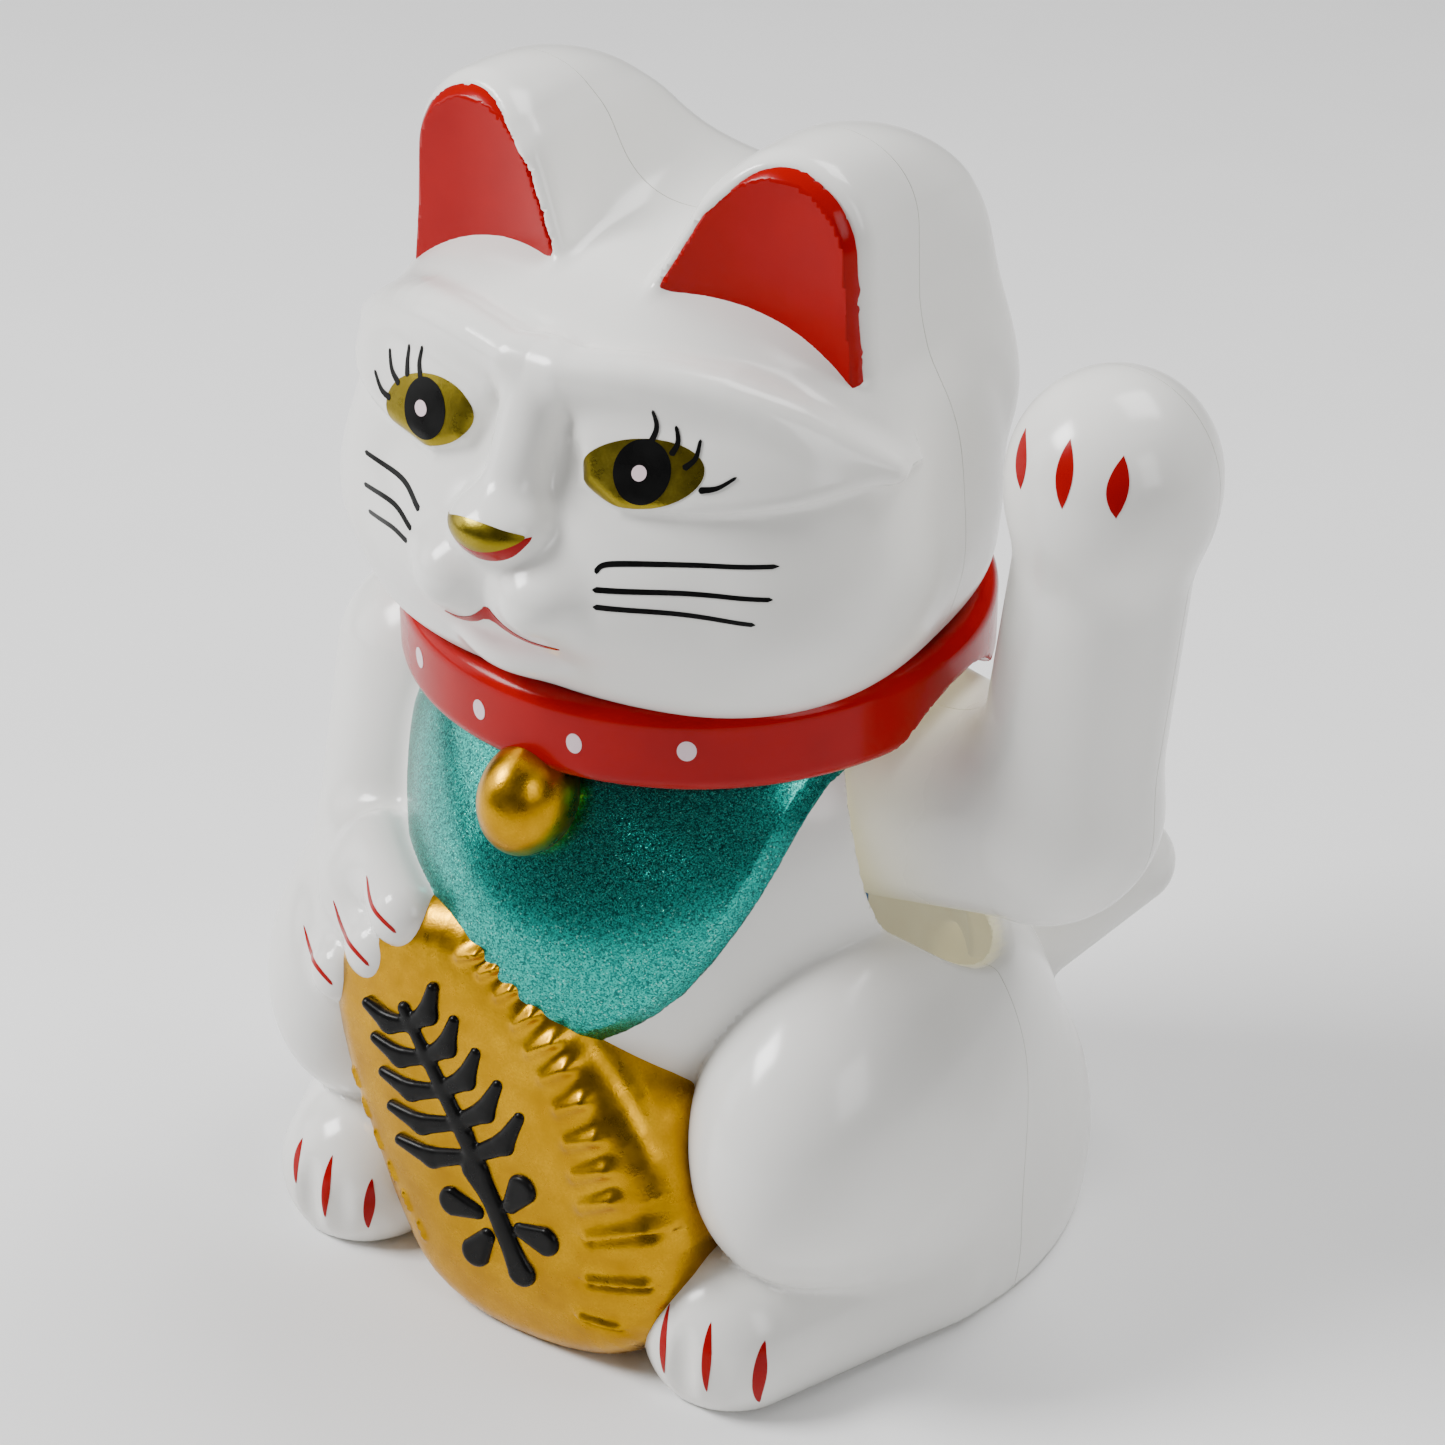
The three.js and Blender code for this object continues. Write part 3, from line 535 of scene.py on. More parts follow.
def half(points, faces, plane_y, keep_front):
    """The part of a closed mesh in front of or behind a plane across Y, closed again at the cut."""
    work = bmesh.new()
    verts = [work.verts.new(p) for p in points.tolist()]
    for f in faces:
        work.faces.new([verts[i] for i in f])
    everything = [*work.verts, *work.edges, *work.faces]
    cut_edges = bmesh.ops.bisect_plane(
        work, geom=everything, dist=1e-4, plane_co=(0, plane_y, 0), plane_no=(0, 1, 0),
        clear_outer=keep_front, clear_inner=not keep_front)["geom_cut"]
    rim = [e for e in cut_edges if isinstance(e, bmesh.types.BMEdge)]
    bmesh.ops.triangle_fill(work, edges=rim, use_beauty=True, normal=(0, 1 if keep_front else -1, 0))
    bmesh.ops.recalc_face_normals(work, faces=work.faces)
    work.verts.index_update()
    made = np.array([v.co for v in work.verts]), [[v.index for v in f.verts] for f in work.faces]
    work.free()
    return made


def border_of(faces):
    """The directed edges that only one face has."""
    edges = {(i, j) for ring in faces for i, j in zip(ring, ring[1:] + ring[:1])}
    return [(i, j) for i, j in edges if (j, i) not in edges]


def thicken(points, faces, way, lift, depth):
    """A thin closed sheet over the given faces."""
    count = len(points)
    border = border_of(faces)
    under = [[i + count for i in reversed(ring)] for ring in faces]
    sides = [[j, i, i + count, j + count] for i, j in border]
    return np.concatenate([points + way * lift, points - way * depth]), faces + under + sides


# ================================================================ materials
def new_material(name):
    material = bpy.data.materials.new(name)
    material.use_nodes = True
    tree = material.node_tree
    return material, tree, tree.nodes["Principled BSDF"]


def node(tree, kind, **values):
    made = tree.nodes.new(kind)
    for key, value in values.items():
        if key in made.inputs:
            made.inputs[key].default_value = value
        else:
            setattr(made, key, value)
    return made


def noise(tree, size_mm, detail=3.0):
    """Smooth noise from 0 to 1 whose features have that size."""
    place = node(tree, "ShaderNodeTexCoord").outputs["Object"]
    made = node(tree, "ShaderNodeTexNoise", Scale=1 / (size_mm * MM), Detail=detail)
    tree.links.new(place, made.inputs["Vector"])
    return made.outputs["Fac"]


def ramp(tree, value, low, high, from_low=0.3, from_high=0.7):
    ends = {"From Min": from_low, "From Max": from_high, "To Min": low, "To Max": high}
    made = node(tree, "ShaderNodeMapRange", **ends)
    tree.links.new(value, made.inputs["Value"])
    return made.outputs["Result"]


def mix(tree, share, first, second):
    """A mix of two colours; share, first and second are sockets or values."""
    made = node(tree, "ShaderNodeMix", data_type="RGBA")
    for index, value in ((0, share), (6, first), (7, second)):
        if isinstance(value, bpy.types.NodeSocket):
            tree.links.new(value, made.inputs[index])
        else:
            made.inputs[index].default_value = (*value, 1) if isinstance(value, tuple) else value
    return made.outputs[2]


def add_bump(tree, shader, height, depth_mm):
    made = node(tree, "ShaderNodeBump", Strength=1.0, Distance=depth_mm * MM)
    tree.links.new(height, made.inputs["Height"])
    tree.links.new(made.outputs["Normal"], shader.inputs["Normal"])


def attribute(tree, name):
    return node(tree, "ShaderNodeAttribute", attribute_name=name).outputs["Fac"]


def plain(name, colour, shade, roughness, metallic=0.0, coat=0.0, patch=6.0, grain=0.5, depth=0.01,
          specular=0.5):
    """A moulded, painted or metal surface: colour drifts to shade in patches, with a fine grain."""
    material, tree, shader = new_material(name)
    base = mix(tree, ramp(tree, noise(tree, patch), 0, 1), colour, shade)
    tree.links.new(base, shader.inputs["Base Color"])
    gloss = ramp(tree, noise(tree, patch / 2), roughness * 0.8, roughness * 1.2)
    tree.links.new(gloss, shader.inputs["Roughness"])
    add_bump(tree, shader, noise(tree, grain), depth)
    shader.inputs["Metallic"].default_value = metallic
    shader.inputs["Coat Weight"].default_value = coat
    shader.inputs["Coat Roughness"].default_value = 0.08
    shader.inputs["Specular IOR Level"].default_value = specular
    return material


def white_plastic():
    """Glossy white moulding, cream and duller on its unpainted inside, which has a painted glow; the arm's
    root takes the same cream and glow as painted shade.
    """
    material, tree, shader = new_material("shell_white")
    outer = mix(tree, ramp(tree, noise(tree, 14), 0, 1), (0.87, 0.862, 0.83), (0.84, 0.832, 0.80))
    inner = mix(tree, ramp(tree, noise(tree, 8), 0, 1), (0.82, 0.78, 0.58), (0.76, 0.72, 0.52))
    # the inner attribute marks the unpainted inside, and also the arm's root near the shoulder as painted
    # shade
    inside = attribute(tree, "inner")
    blush = attribute(tree, "blush")
    outer = mix(tree, blush, outer, (0.72, 0.10, 0.12))
    tree.links.new(mix(tree, inside, outer, inner), shader.inputs["Base Color"])
    rough = node(tree, "ShaderNodeMath", operation="MULTIPLY_ADD")
    tree.links.new(inside, rough.inputs[0])
    rough.inputs[1].default_value = 0.3
    tree.links.new(ramp(tree, noise(tree, 9), 0.15, 0.22), rough.inputs[2])
    tree.links.new(rough.outputs[0], shader.inputs["Roughness"])
    add_bump(tree, shader, noise(tree, 3.0, 1.0), 0.012)
    # painted glow: the inside gives off its own cream colour, standing in for light coming through the thin
    # wall
    painted_glow = node(tree, "ShaderNodeMath", operation="MULTIPLY")
    tree.links.new(inside, painted_glow.inputs[0])
    painted_glow.inputs[1].default_value = 0.3
    tree.links.new(inner, shader.inputs["Emission Color"])
    tree.links.new(painted_glow.outputs[0], shader.inputs["Emission Strength"])
    return material


def flake_paint():
    """Teal metal-flake lacquer: every small cell has its own tilt and brightness, a few cells are painted
    bright as painted glints, and painted shade darkens it along the bib's border.
    """
    material, tree, shader = new_material("paint_green")
    place = node(tree, "ShaderNodeTexCoord").outputs["Object"]
    cells = node(tree, "ShaderNodeTexVoronoi", Scale=1 / (0.17 * MM))
    tree.links.new(place, cells.inputs["Vector"])
    split = node(tree, "ShaderNodeSeparateColor")
    tree.links.new(cells.outputs["Color"], split.inputs["Color"])
    base = mix(tree, ramp(tree, split.outputs[0], 0, 1, 0.1, 0.9), (0.0, 0.10, 0.092), (0.014, 0.46, 0.38))
    # painted glints: a few cells are painted a bright pale teal
    painted_glint = ramp(tree, split.outputs[1], 0, 1, 0.95, 0.99)
    base = mix(tree, painted_glint, base, (0.15, 0.6, 0.5))
    # painted shade: the lacquer is darkened within 2 mm of the bib's outline, along its raised border
    edge = attribute(tree, "edge")
    tree.links.new(mix(tree, edge, base, (0.0, 0.05, 0.05)), shader.inputs["Base Color"])
    shader.inputs["Metallic"].default_value = 1.0
    shader.inputs["Roughness"].default_value = 0.25
    add_bump(tree, shader, split.outputs[2], 0.012)
    shader.inputs["Coat Weight"].default_value = 0.25
    shader.inputs["Coat Roughness"].default_value = 0.15
    return material


def gold_paint(name, dark, bright):
    material, tree, shader = new_material(name)
    patch = ramp(tree, noise(tree, 5.0), 0, 1)
    fine = ramp(tree, noise(tree, 0.3, 2.0), 0, 0.6)
    base = mix(tree, fine, mix(tree, patch, dark, bright), dark)
    tree.links.new(base, shader.inputs["Base Color"])
    shader.inputs["Metallic"].default_value = 1.0
    tree.links.new(ramp(tree, noise(tree, 2.0), 0.24, 0.38), shader.inputs["Roughness"])
    add_bump(tree, shader, noise(tree, 0.35, 2.0), 0.02)
    return material


def board_material():
    """Paper-phenolic board, with the fibres' streaks."""
    material, tree, shader = new_material("board")
    place = node(tree, "ShaderNodeTexCoord").outputs["Object"]
    streaks = node(tree, "ShaderNodeTexWave", Scale=120.0, Distortion=6.0, Detail=3.0)
    tree.links.new(place, streaks.inputs["Vector"])
    base = mix(tree, ramp(tree, streaks.outputs["Fac"], 0, 1, 0, 1), (0.55, 0.33, 0.13), (0.42, 0.24, 0.09))
    tree.links.new(base, shader.inputs["Base Color"])
    shader.inputs["Roughness"].default_value = 0.45
    add_bump(tree, shader, noise(tree, 0.4), 0.01)
    return material


def winding_material():
    """Enamelled copper wire in close turns."""
    material, tree, shader = new_material("copper")
    place = node(tree, "ShaderNodeTexCoord").outputs["Object"]
    turns = node(tree, "ShaderNodeTexWave", Scale=700.0, Distortion=0.4, bands_direction="Z")
    tree.links.new(place, turns.inputs["Vector"])
    base = mix(tree, ramp(tree, turns.outputs["Fac"], 0, 1, 0, 1), (0.28, 0.09, 0.03), (0.62, 0.24, 0.09))
    tree.links.new(base, shader.inputs["Base Color"])
    shader.inputs["Metallic"].default_value = 0.9
    shader.inputs["Roughness"].default_value = 0.3
    add_bump(tree, shader, turns.outputs["Fac"], 0.08)
    return material


MATERIALS = {
    "shell_white": white_plastic(),
    "base_white": plain("base_white", (0.78, 0.775, 0.75), (0.74, 0.735, 0.71),
                        0.4, grain=0.35, depth=0.02),
    "paint_red": plain("paint_red", (0.36, 0.0, 0.001), (0.32, 0.0, 0.001),
                       0.2, depth=0.006, specular=0.15),
    "paint_gold": gold_paint("paint_gold", (0.40, 0.195, 0.0), (0.60, 0.32, 0.0)),
    "paint_green": flake_paint(),
    "print_black": plain("print_black", (0.003, 0.003, 0.003), (0.006, 0.006, 0.006),
                         0.3, depth=0.004, specular=0.12),
    "print_olive": gold_paint("print_olive", (0.23, 0.17, 0.012), (0.33, 0.26, 0.03)),
    "print_pink": plain("print_pink", (0.78, 0.62, 0.66), (0.72, 0.55, 0.60), 0.3, depth=0.004),
    "steel": plain("steel", (0.62, 0.62, 0.63), (0.5, 0.5, 0.51),
                   0.3, metallic=1.0, patch=3, grain=0.2, depth=0.01),
    "contact_steel": plain("contact_steel", (0.7, 0.69, 0.66), (0.58, 0.57, 0.54),
                           0.25, metallic=1.0, patch=4),
    "cell_label": plain("cell_label", (0.02, 0.09, 0.32), (0.015, 0.07, 0.26),
                        0.25, metallic=0.3, coat=0.4, patch=8),
    "frame_blue": plain("frame_blue", (0.04, 0.14, 0.42), (0.035, 0.12, 0.36),
                        0.42, grain=0.3, depth=0.02),
    "inner_cream": plain("inner_cream", (0.76, 0.72, 0.5), (0.7, 0.66, 0.45),
                         0.45, grain=0.4, depth=0.015),
    "copper": winding_material(),
    "board": board_material(),
    "black_plastic": plain("black_plastic", (0.012, 0.012, 0.014), (0.02, 0.02, 0.022),
                           0.45, grain=0.2, depth=0.015),
    "lead_red": plain("lead_red", (0.5, 0.012, 0.012), (0.42, 0.01, 0.01), 0.4, grain=0.3, depth=0.01),
    "lead_black": plain("lead_black", (0.012, 0.012, 0.012), (0.02, 0.02, 0.02),
                        0.4, grain=0.3, depth=0.01),
    "magnet": plain("magnet", (0.09, 0.09, 0.095), (0.06, 0.06, 0.065),
                    0.5, metallic=0.6, grain=0.15, depth=0.02),
}


def dress_cad():
    """Every CAD node that still shows takes its record slot's material."""
    slots = {part["node"]: part["material_slot"] for part in frame["record"]["subparts"]}
    for name, piece in NODES.items():
        slot = slots[name]
        piece.data.materials.clear()
        piece.data.materials.append(MATERIALS[slot])


# ================================================================ shapes laid on the surface
def ellipse(x, z, half_x, half_z, tilt=0.0, count=48):
    a = np.linspace(0, 2 * math.pi, count, endpoint=False)
    u, v = half_x * np.cos(a), half_z * np.sin(a)
    c, s = math.cos(tilt), math.sin(tilt)
    return np.stack([x + u * c - v * s, z + u * s + v * c], -1)


def fan(outline, rings=7):
    """A filled outline as rings of points about its middle."""
    outline = np.asarray(outline, float)
    centre, count = outline.mean(0), len(outline)
    points = [centre] + [centre + (p - centre) * k / rings for k in range(1, rings + 1) for p in outline]
    faces = [[0, 1 + i, 1 + (i + 1) % count] for i in range(count)]
    for k in range(rings - 1):
        low, high = 1 + k * count, 1 + (k + 1) * count
        faces += [[low + i, high + i, high + (i + 1) % count, low + (i + 1) % count] for i in range(count)]
    return np.array(points), faces


def stroke(path, width, start=1.0, end=1.0, belly=0.0, steps=28, across=4):
    """A brush line: width in the middle, start and end are the shares of it that are left at the ends."""
    line = curve_through(path, steps)
    along = np.gradient(line, axis=0)
    along /= np.linalg.norm(along, axis=1, keepdims=True)
    side = np.stack([-along[:, 1], along[:, 0]], -1)
    t = np.linspace(0, 1, steps)
    share = start + (end - start) * t + belly * np.sin(math.pi * t)
    length = np.linalg.norm(np.diff(line, axis=0), axis=1).sum()
    near_end = np.minimum(t, 1 - t) * length
    rounding = np.sqrt(np.clip(1 - (1 - np.clip(near_end / (width / 2), 0, 1)) ** 2, 0.02, 1))
    half_width = width / 2 * share * rounding
    points = [line[i] + side[i] * half_width[i] * (2 * j / across - 1)
              for i in range(steps) for j in range(across + 1)]
    row = across + 1
    faces = [[i * row + j, (i + 1) * row + j, (i + 1) * row + j + 1, i * row + j + 1]
             for i in range(steps - 1) for j in range(across)]
    return np.array(points), faces


CAST_FROM_Y = -60.0  # prints are cast from this plane, in front of the figure
CAST_REACH = 75.0


def printed(name, shapes, slot, form, body="base", lift=PRINT_LIFT, depth=0.12, way=(0.0, 1.0, 0.0),
            level=0.0):
    """One thin print: flat shapes, given in X and Z at a level of Y, laid on the form along a way."""
    all_points, all_faces = [], []
    for flat, faces in shapes:
        back = (level - CAST_FROM_Y) / way[1]
        x, z = flat[:, 0] - way[0] * back, flat[:, 1] - way[2] * back
        starts = np.stack([x, np.full(len(flat), CAST_FROM_Y), z], -1)
        on = cast(form, starts, np.tile(way, (len(starts), 1)), CAST_REACH)
        points, rings = thicken(on, faces, normals(form, on), lift, depth)
        all_faces += [[i + sum(map(len, all_points)) for i in ring] for ring in rings]
        all_points.append(points)
    return make(name, np.concatenate(all_points), all_faces, MATERIALS[slot], body, slot)


# ================================================================ painted areas
def skin_of(painted, p):
    """The part of a painted form that lies within the paint's depth of the figure's surface."""
    return np.maximum(painted - PAINT_LIFT, -(figure_form(p) + PAINT_DEPTH))


def coin_paint(p):
    return np.maximum(skin_of(koban_form(p, coin_relief(p)), p), 0.1 - p[..., 2])


def bell_paint(p):
    return skin_of(bell_form(p), p)


def collar_paint(p):
    return cut(skin_of(collar_form(p), p), 0.1 - slot_form(p), 0.3)


def bib_paint(p):
    layer = np.maximum(bib_form(p) - PAINT_LIFT, -(torso_form(p) + PAINT_DEPTH))
    sides = np.maximum(bib_edge(p) + 0.25, p[..., 1] + 10)
    return cut(np.maximum(layer, sides), 0.1 - slot_form(p), 0.3)


def ear_paint(p):
    """A thin layer on the floor of each ear's hollow, which the hollow's own walls bound."""
    m = mirrored(p)
    dish = np.maximum(polygon(m[..., 0], m[..., 2], DISH_OUTLINE) - DISH_ROUNDING - 1.5, ear_form(m) + 0.5)
    behind = m[..., 1] - dish_floor(m)
    return np.maximum(np.maximum(dish, -behind), behind - PAINT_SINK - 1.0)


# Each painted layer: its form, material slot, the corners of its space and its share of the grid's spacing.
PAINTS = {
    "gold_coin": (coin_paint, "paint_gold", (-30, -49, -1.5), (27, -19, 59), 0.65),
    "gold_bell": (bell_paint, "paint_gold", (-6, -46, 66), (9, -29, 84), 0.6),
    "red_collar": (collar_paint, "paint_red", (-38, -38, 77), (38, 38, 91), 0.8),
    "teal_bib": (bib_paint, "paint_green", (-38, -46, 41), (36, -8, 88), 0.8),
    "red_ear_right": (ear_paint, "paint_red", (-33, -23, 116), (-3, -11, 151), 0.8),
    "red_ear_left": (ear_paint, "paint_red", (3, -23, 116), (33, -11, 151), 0.8),
}


# ================================================================ the pieces
AGREEMENT = 0.72  # least cosine between a face's own normal and the form's slope for smooth shading


def vertices_of(piece):
    """A piece's points in millimetres."""
    points = np.empty(len(piece.data.vertices) * 3, np.float32)
    piece.data.vertices.foreach_get("co", points)
    return points.reshape(-1, 3) / MM


def set_normals(piece, form):
    """Shades a piece with its form's own slopes, and its flat cut faces flat."""
    mesh = piece.data
    way = normals(form, vertices_of(piece))
    corner = np.empty(len(mesh.loops), int)
    mesh.loops.foreach_get("vertex_index", corner)
    flat = np.empty(len(mesh.polygons) * 3, np.float32)
    mesh.polygons.foreach_get("normal", flat)
    count = np.empty(len(mesh.polygons), int)
    mesh.polygons.foreach_get("loop_total", count)
    flat = np.repeat(flat.reshape(-1, 3), count, axis=0)
    smooth = way[corner]
    agree = (smooth * flat).sum(1)
    facing, opposed = (agree > AGREEMENT)[:, None], (agree < -AGREEMENT)[:, None]
    chosen = np.where(facing, smooth, np.where(opposed, -smooth, flat))
    mesh.normals_split_custom_set(chosen.tolist())


def set_attribute(piece, name, values):
    layer = piece.data.attributes.new(name, "FLOAT", "POINT")
    layer.data.foreach_set("value", np.asarray(values, np.float32))


ROOT_SHADE_SHARE = 0.75  # how far the arm's root is painted towards the inside's cream, as painted shade
MOUTH_Z = 97.6
BLUSH_REACH = (9.5, 1.9)  # half the width and height of the faint red round the mouth
BLUSH_SHARE = 0.30


def shade_shell(piece, outer_form, wall, root_shade_x=None):
    """Marks a moulding's inside, the faint red round the mouth and the arm's root, painted cream as painted
    shade where it goes into the shoulder.
    """
    p = vertices_of(piece)
    inner = np.clip((-outer_form(p) - wall * 0.3) / (wall * 0.3), 0, 1)
    # painted shade: near the shoulder the arm's root is marked as inside, so it turns cream and takes the
    # inside's painted glow
    if root_shade_x is not None:
        cream = np.clip((root_shade_x[1] - p[:, 0]) / (root_shade_x[1] - root_shade_x[0]), 0, 1)
        inner = np.maximum(inner, ROOT_SHADE_SHARE * cream ** 1.5)
    set_attribute(piece, "inner", inner)
    mouth = np.hypot(p[:, 0] / BLUSH_REACH[0], (p[:, 2] - MOUTH_Z) / BLUSH_REACH[1])
    set_attribute(piece, "blush", BLUSH_SHARE * np.exp(-mouth**2) * (p[:, 1] < -20))


def mouldings(points, faces, seam_y, form, body, names):
    """The front and rear halves of a moulding, each in the place of its CAD node."""
    made = []
    for (name, node_name), keep_front in zip(names, (True, False)):
        plane = seam_y - SEAM_GAP / 2 if keep_front else seam_y + SEAM_GAP / 2
        shape = half(points, faces, plane, keep_front)
        shell = make(name, *shape, MATERIALS["shell_white"], body, "shell_white")
        set_normals(shell, form)
        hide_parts(node_name)
        made.append(shell)
    return made


def build_figure():
    points, faces = surface(shell_form, (-54.0, -50.0, -1.5), (56.0, 44.0, 155.0), GRID)
    names = (("front_moulding", "front_shell"), ("rear_moulding", "rear_shell"))
    for shell in mouldings(points, faces, SEAM_Y, shell_form, "base", names):
        shade_shell(shell, lambda p: figure_form(p, SINK), WALL)


def build_paint():
    for name, (form, slot, low, high, share) in PAINTS.items():
        points, faces = surface(form, low, high, GRID * share)
        piece = make(name, points, faces, MATERIALS[slot], "base", slot)
        set_normals(piece, form)
        if name == "teal_bib":
            # painted shade along the bib's raised border, darkest at its outline
            set_attribute(piece, "edge", np.clip(1 + bib_edge(vertices_of(piece)) / 2.0, 0, 1) * 0.6)


# The ornament on the coin, a flowering sprig: its foot and its top on the coin, in X and Z.
SPRIG_FOOT = (4.0, 13.5)
SPRIG_TOP = (-13.6, 43.0)
SPRIG_RISE = 0.85  # how far its flat top stands in front of the coin's face
LEAF_PAIRS, LEAF_START, LEAF_SPACING = 5, 14.4, 4.5
PETALS, FLOWER_CENTRE, PETAL_FROM, PETAL_TO = 6, 5.5, 3.4, 7.0


def sprig_form(p):
    """Round-backed strokes half sunk in the coin: a stem, pairs of curled leaves and a flower."""
    foot, top = np.array(SPRIG_FOOT, np.float32), np.array(SPRIG_TOP, np.float32)
    length = float(np.linalg.norm(top - foot))
    up = (top - foot) / length
    side = np.array([up[1], -up[0]], np.float32)

    def place(u, v):
        x, z = foot + side * u + up * v
        return (x, koban_face(np.float32([x, 0, z])) + 0.3, z)

    middle = place(0.8, length * 0.5)
    strokes = [(place(0, 0), middle, 1.6, 1.4), (middle, place(0, length), 1.4, 1.0)]
    for i in range(LEAF_PAIRS):
        v, reach = LEAF_START + LEAF_SPACING * i, 10.6 - 1.2 * i
        for way in (-1, 1):
            strokes.append((place(0.5 * way, v), place(way * reach * 0.6, v + 0.7), 1.1, 1.5))
            strokes.append((place(way * reach * 0.6, v + 0.7), place(way * reach, v + 3.6), 1.5, 0.8))
    for i in range(PETALS):
        a = math.radians(360 / PETALS * i + 30)
        inner, outer = (
            place(r * math.cos(a), FLOWER_CENTRE + r * math.sin(a)) for r in (PETAL_FROM, PETAL_TO))
        strokes.append((inner, outer, 1.2, 2.1))
    d = limb(p, *strokes[0])
    for stroke_ends in strokes[1:]:
        d = blend(d, limb(p, *stroke_ends), 0.5)
    return d


def ornament_form(p):
    return cut(sprig_form(p), koban_face(p) - SPRIG_RISE, 0.5)


def build_ornament():
    points, faces = surface(ornament_form, (-26.0, -49.0, 4.0), (16.0, -38.0, 54.0), GRID * 0.55)
    sprig = make("coin_ornament", points, faces, MATERIALS["print_black"], "base", "print_black")
    set_normals(sprig, ornament_form)


def build_arm():
    points, faces = surface(arm_shell_form, (21.0, -18.0, 52.0), (71.0, 18.0, 133.0), min(GRID, 0.8))
    names = (("arm_front_moulding", "arm_front_shell"), ("arm_rear_moulding", "arm_rear_shell"))
    for shell in mouldings(points, faces, ARM_SEAM_Y, arm_shell_form, "arm", names):
        shade_shell(shell, arm_form, ARM_WALL, ARM_ROOT_SHADE_X)


ABOVE_FRONT = (-0.477, 0.706, -0.524)  # a way down onto the paw that holds the coin, from its left


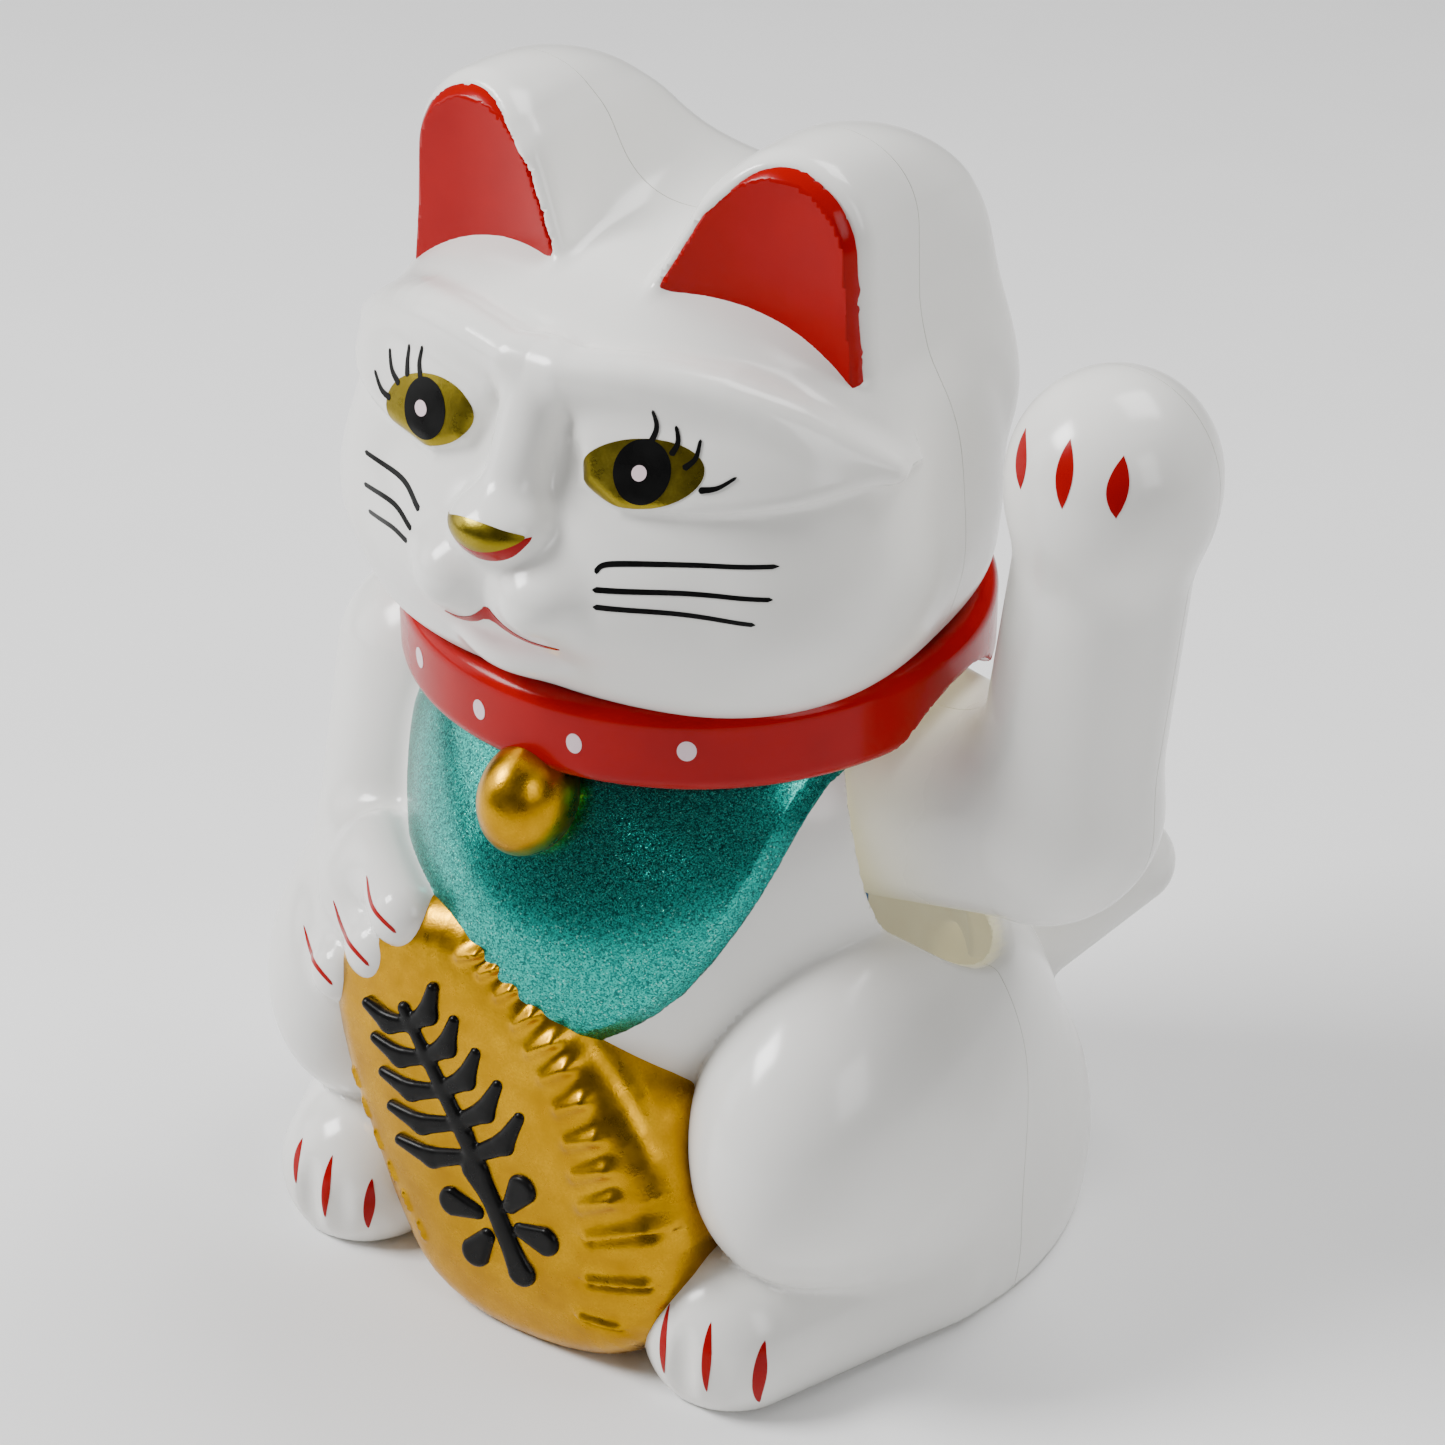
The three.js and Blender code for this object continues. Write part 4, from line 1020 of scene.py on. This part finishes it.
def build_prints():
    left_eye, right_eye = ellipse(14.6, 119.5, 7.1, 3.7, 0.18, 72), ellipse(-14.3, 119.2, 6.9, 3.8, 0.22, 72)
    eyes = [fan(left_eye, 14), fan(right_eye, 14)]
    printed("eye_irises", eyes, "print_olive", figure_form, lift=EYE_LIFT)
    printed("eye_pupils", [fan(ellipse(15.0, 119.8, 3.25, 3.45)), fan(ellipse(-14.5, 119.3, 3.3, 3.3))],
            "print_black", figure_form, lift=EYE_LIFT + PRINT_LIFT)
    printed("eye_highlights", [fan(ellipse(14.8, 119.7, 0.85, 0.85)), fan(ellipse(-15.0, 119.2, 0.95, 0.85))],
            "print_pink", figure_form, lift=EYE_LIFT + PRINT_LIFT * 2)
    lashes = [
        [(15.3, 122.7), (15.6, 124.5), (15.0, 126.4)], [(17.8, 122.0), (18.2, 123.3), (17.6, 125.0)],
        [(19.4, 120.8), (20.4, 122.0), (20.4, 123.9)], [(21.4, 118.8), (23.2, 119.2), (24.8, 120.4)],
        [(-20.4, 118.4), (-22.4, 118.6), (-24.6, 119.8)], [(-19.3, 120.3), (-21.2, 121.2), (-22.6, 122.9)],
        [(-18.2, 121.5), (-18.8, 123.0), (-19.2, 124.6)], [(-15.9, 122.0), (-16.8, 123.6), (-16.8, 125.3)],
    ]
    printed("lashes", [stroke(path, 0.62, 1.2, 0.5) for path in lashes], "print_black", figure_form,
            lift=EYE_LIFT + PRINT_LIFT)
    whiskers = [
        [(12.1, 108.9), (13.6, 109.8), (21.4, 110.3), (29.6, 110.4)],
        [(12.4, 107.2), (21.1, 107.4), (29.7, 106.9)], [(12.8, 105.4), (20.5, 105.2), (28.5, 104.1)],
        [(-12.3, 109.1), (-17.1, 110.5), (-25.5, 109.8)], [(-12.7, 107.0), (-17.1, 107.9), (-24.4, 106.7)],
        [(-13.1, 105.5), (-16.7, 105.6), (-22.6, 104.4)],
    ]
    printed("whiskers", [stroke(path, 0.62, 1.0, 0.8, steps=48) for path in whiskers], "print_black",
            figure_form)
    dot_places = ((-18.5, 84.7), (-6.3, 84.0), (7.1, 84.0), (19.3, 84.7))
    dots = [fan(ellipse(x, z, 0.95, 1.3), 4) for x, z in dot_places]
    printed("collar_dots", dots, "print_pink", figure_form, lift=PAINT_LIFT + PRINT_LIFT)
    claws = [
        [(23.9, 13.3), (24.5, 9.0), (24.8, 4.6)], [(30.1, 13.6), (30.8, 9.5), (31.0, 4.7)],
        [(36.0, 11.6), (36.3, 7.4), (35.9, 2.5)],
        [(-33.4, 13.3), (-33.3, 11.0), (-32.8, 7.9)], [(-27.9, 13.4), (-27.7, 9.4), (-27.9, 4.8)],
        [(-22.6, 11.2), (-22.4, 7.7), (-22.8, 3.8)],
    ]
    printed("foot_claws", [stroke(path, 1.15, 0.15, 0.15, 0.85) for path in claws], "paint_red", figure_form)
    lines = [
        [(-20.9, 58.1), (-19.6, 54.4), (-16.0, 52.0)], [(-26.5, 52.3), (-24.6, 48.4), (-20.5, 45.4)],
        [(-32.0, 46.3), (-30.3, 42.8), (-26.7, 40.0)],
    ]
    printed("foreleg_claws", [stroke(path, 0.8, 0.2, 0.7, 0.4) for path in lines], "paint_red", figure_form,
            way=ABOVE_FRONT, level=-41.0)
    paw = [
        [(49.0, 124.9), (50.0, 122.3), (50.8, 119.7)], [(55.6, 126.4), (56.2, 123.2), (56.7, 119.7)],
        [(61.5, 125.7), (61.9, 122.6), (62.3, 119.5)],
    ]
    printed("arm_claws", [stroke(path, 2.0, 0.1, 0.1, 0.9) for path in paw], "paint_red", arm_form,
            body="arm")
    nose = [
        (-5.2, 112.6), (-2.6, 113.7), (0, 114.0), (2.6, 113.7), (5.2, 112.6), (3.2, 111.3), (0, 110.6),
        (-3.2, 111.3),
    ]
    lip = [(-5.6, 112.4), (-3.4, 110.6), (0, 109.8), (3.4, 110.6), (5.6, 112.4)]
    printed("nose_gold", [fan(curve_through([*nose, nose[0]], 64)[:-1], 10)], "print_olive", figure_form,
            lift=EYE_LIFT)
    printed("nose_red", [stroke(lip, 1.7, 0.35, 0.35, 0.7, steps=40, across=6)], "paint_red", figure_form)
    lip_dip = [
        (0, 102.4), (1.5, 101.2), (3.0, 99.8), (1.4, 100.3), (0, 100.7), (-1.4, 100.3), (-3.0, 99.8),
        (-1.5, 101.2),
    ]
    mouth = [
        fan(lip_dip, 4),
        stroke([(-0.5, 102.3), (2.3, 100.0), (5.0, 98.9), (8.3, 98.6)], 0.6, 2.0, 0.5),
        stroke([(0.5, 102.3), (-2.3, 100.0), (-5.0, 98.9), (-7.6, 98.6)], 0.6, 2.0, 0.5),
    ]
    printed("mouth", mouth, "paint_red", figure_form, lift=EYE_LIFT)


build_figure()
build_paint()
build_ornament()
build_arm()
build_prints()
dress_cad()


# ================================================================ floor, lights and camera, in metres
FLOOR_REACH, FLOOR_Z = 3.0, -0.0002
CAMERA_PLACE, CAMERA_TARGET = (0.21786, -0.31702, 0.30318), (0.00284, 0.00094, 0.06669)
CAMERA_LENS, CAMERA_SENSOR = 90.64, 36


def build_floor():
    mesh = bpy.data.meshes.new("floor")
    corners = [(FLOOR_REACH * i, FLOOR_REACH * j, FLOOR_Z) for i, j in ((-1, -1), (1, -1), (1, 1), (-1, 1))]
    mesh.from_pydata(corners, [], [(0, 1, 2, 3)])
    floor = bpy.data.objects.new("floor", mesh)
    bpy.context.scene.collection.objects.link(floor)
    material, tree, shader = new_material("floor_paper")
    base = mix(tree, ramp(tree, noise(tree, 40), 0, 1), (0.9, 0.9, 0.9), (0.88, 0.88, 0.88))
    tree.links.new(base, shader.inputs["Base Color"])
    shader.inputs["Roughness"].default_value = 0.8
    mesh.materials.append(material)


def soft_box(name, place, target, width, height, watts):
    light = bpy.data.lights.new(name, "AREA")
    light.shape = "RECTANGLE"
    light.size, light.size_y, light.energy = width, height, watts
    holder = bpy.data.objects.new(name, light)
    holder.location = place
    holder.rotation_euler = (Vector(target) - Vector(place)).to_track_quat("-Z", "Y").to_euler()
    bpy.context.scene.collection.objects.link(holder)


def build_lights():
    world = bpy.data.worlds.new("studio")
    world.use_nodes = True
    background = world.node_tree.nodes["Background"]
    background.inputs["Color"].default_value = (1.0, 1.0, 1.0, 1)
    background.inputs["Strength"].default_value = 0.13
    bpy.context.scene.world = world
    middle = (0, 0, 0.075)
    soft_box("key", (-0.5, -0.35, 0.65), middle, 0.28, 0.28, 9.5)
    soft_box("fill", (0.7, -0.2, 0.45), middle, 0.25, 0.4, 1.5)
    soft_box("top", (0.15, 0.3, 0.8), middle, 0.4, 0.4, 5.5)
    soft_box("left", (-0.8, -0.3, 0.3), middle, 0.5, 0.4, 1.4)


def build_camera():
    """The view from the front right and above."""
    camera = bpy.data.cameras.new("camera")
    camera.sensor_width = CAMERA_SENSOR
    camera.lens = CAMERA_LENS
    camera.clip_start, camera.clip_end = 0.01, 20
    holder = bpy.data.objects.new("camera", camera)
    place, target = Vector(CAMERA_PLACE), Vector(CAMERA_TARGET)
    holder.location = place
    holder.rotation_euler = (target - place).to_track_quat("-Z", "Y").to_euler()
    bpy.context.scene.collection.objects.link(holder)
    bpy.context.scene.camera = holder


build_floor()
build_lights()
build_camera()

bpy.context.view_layer.update()
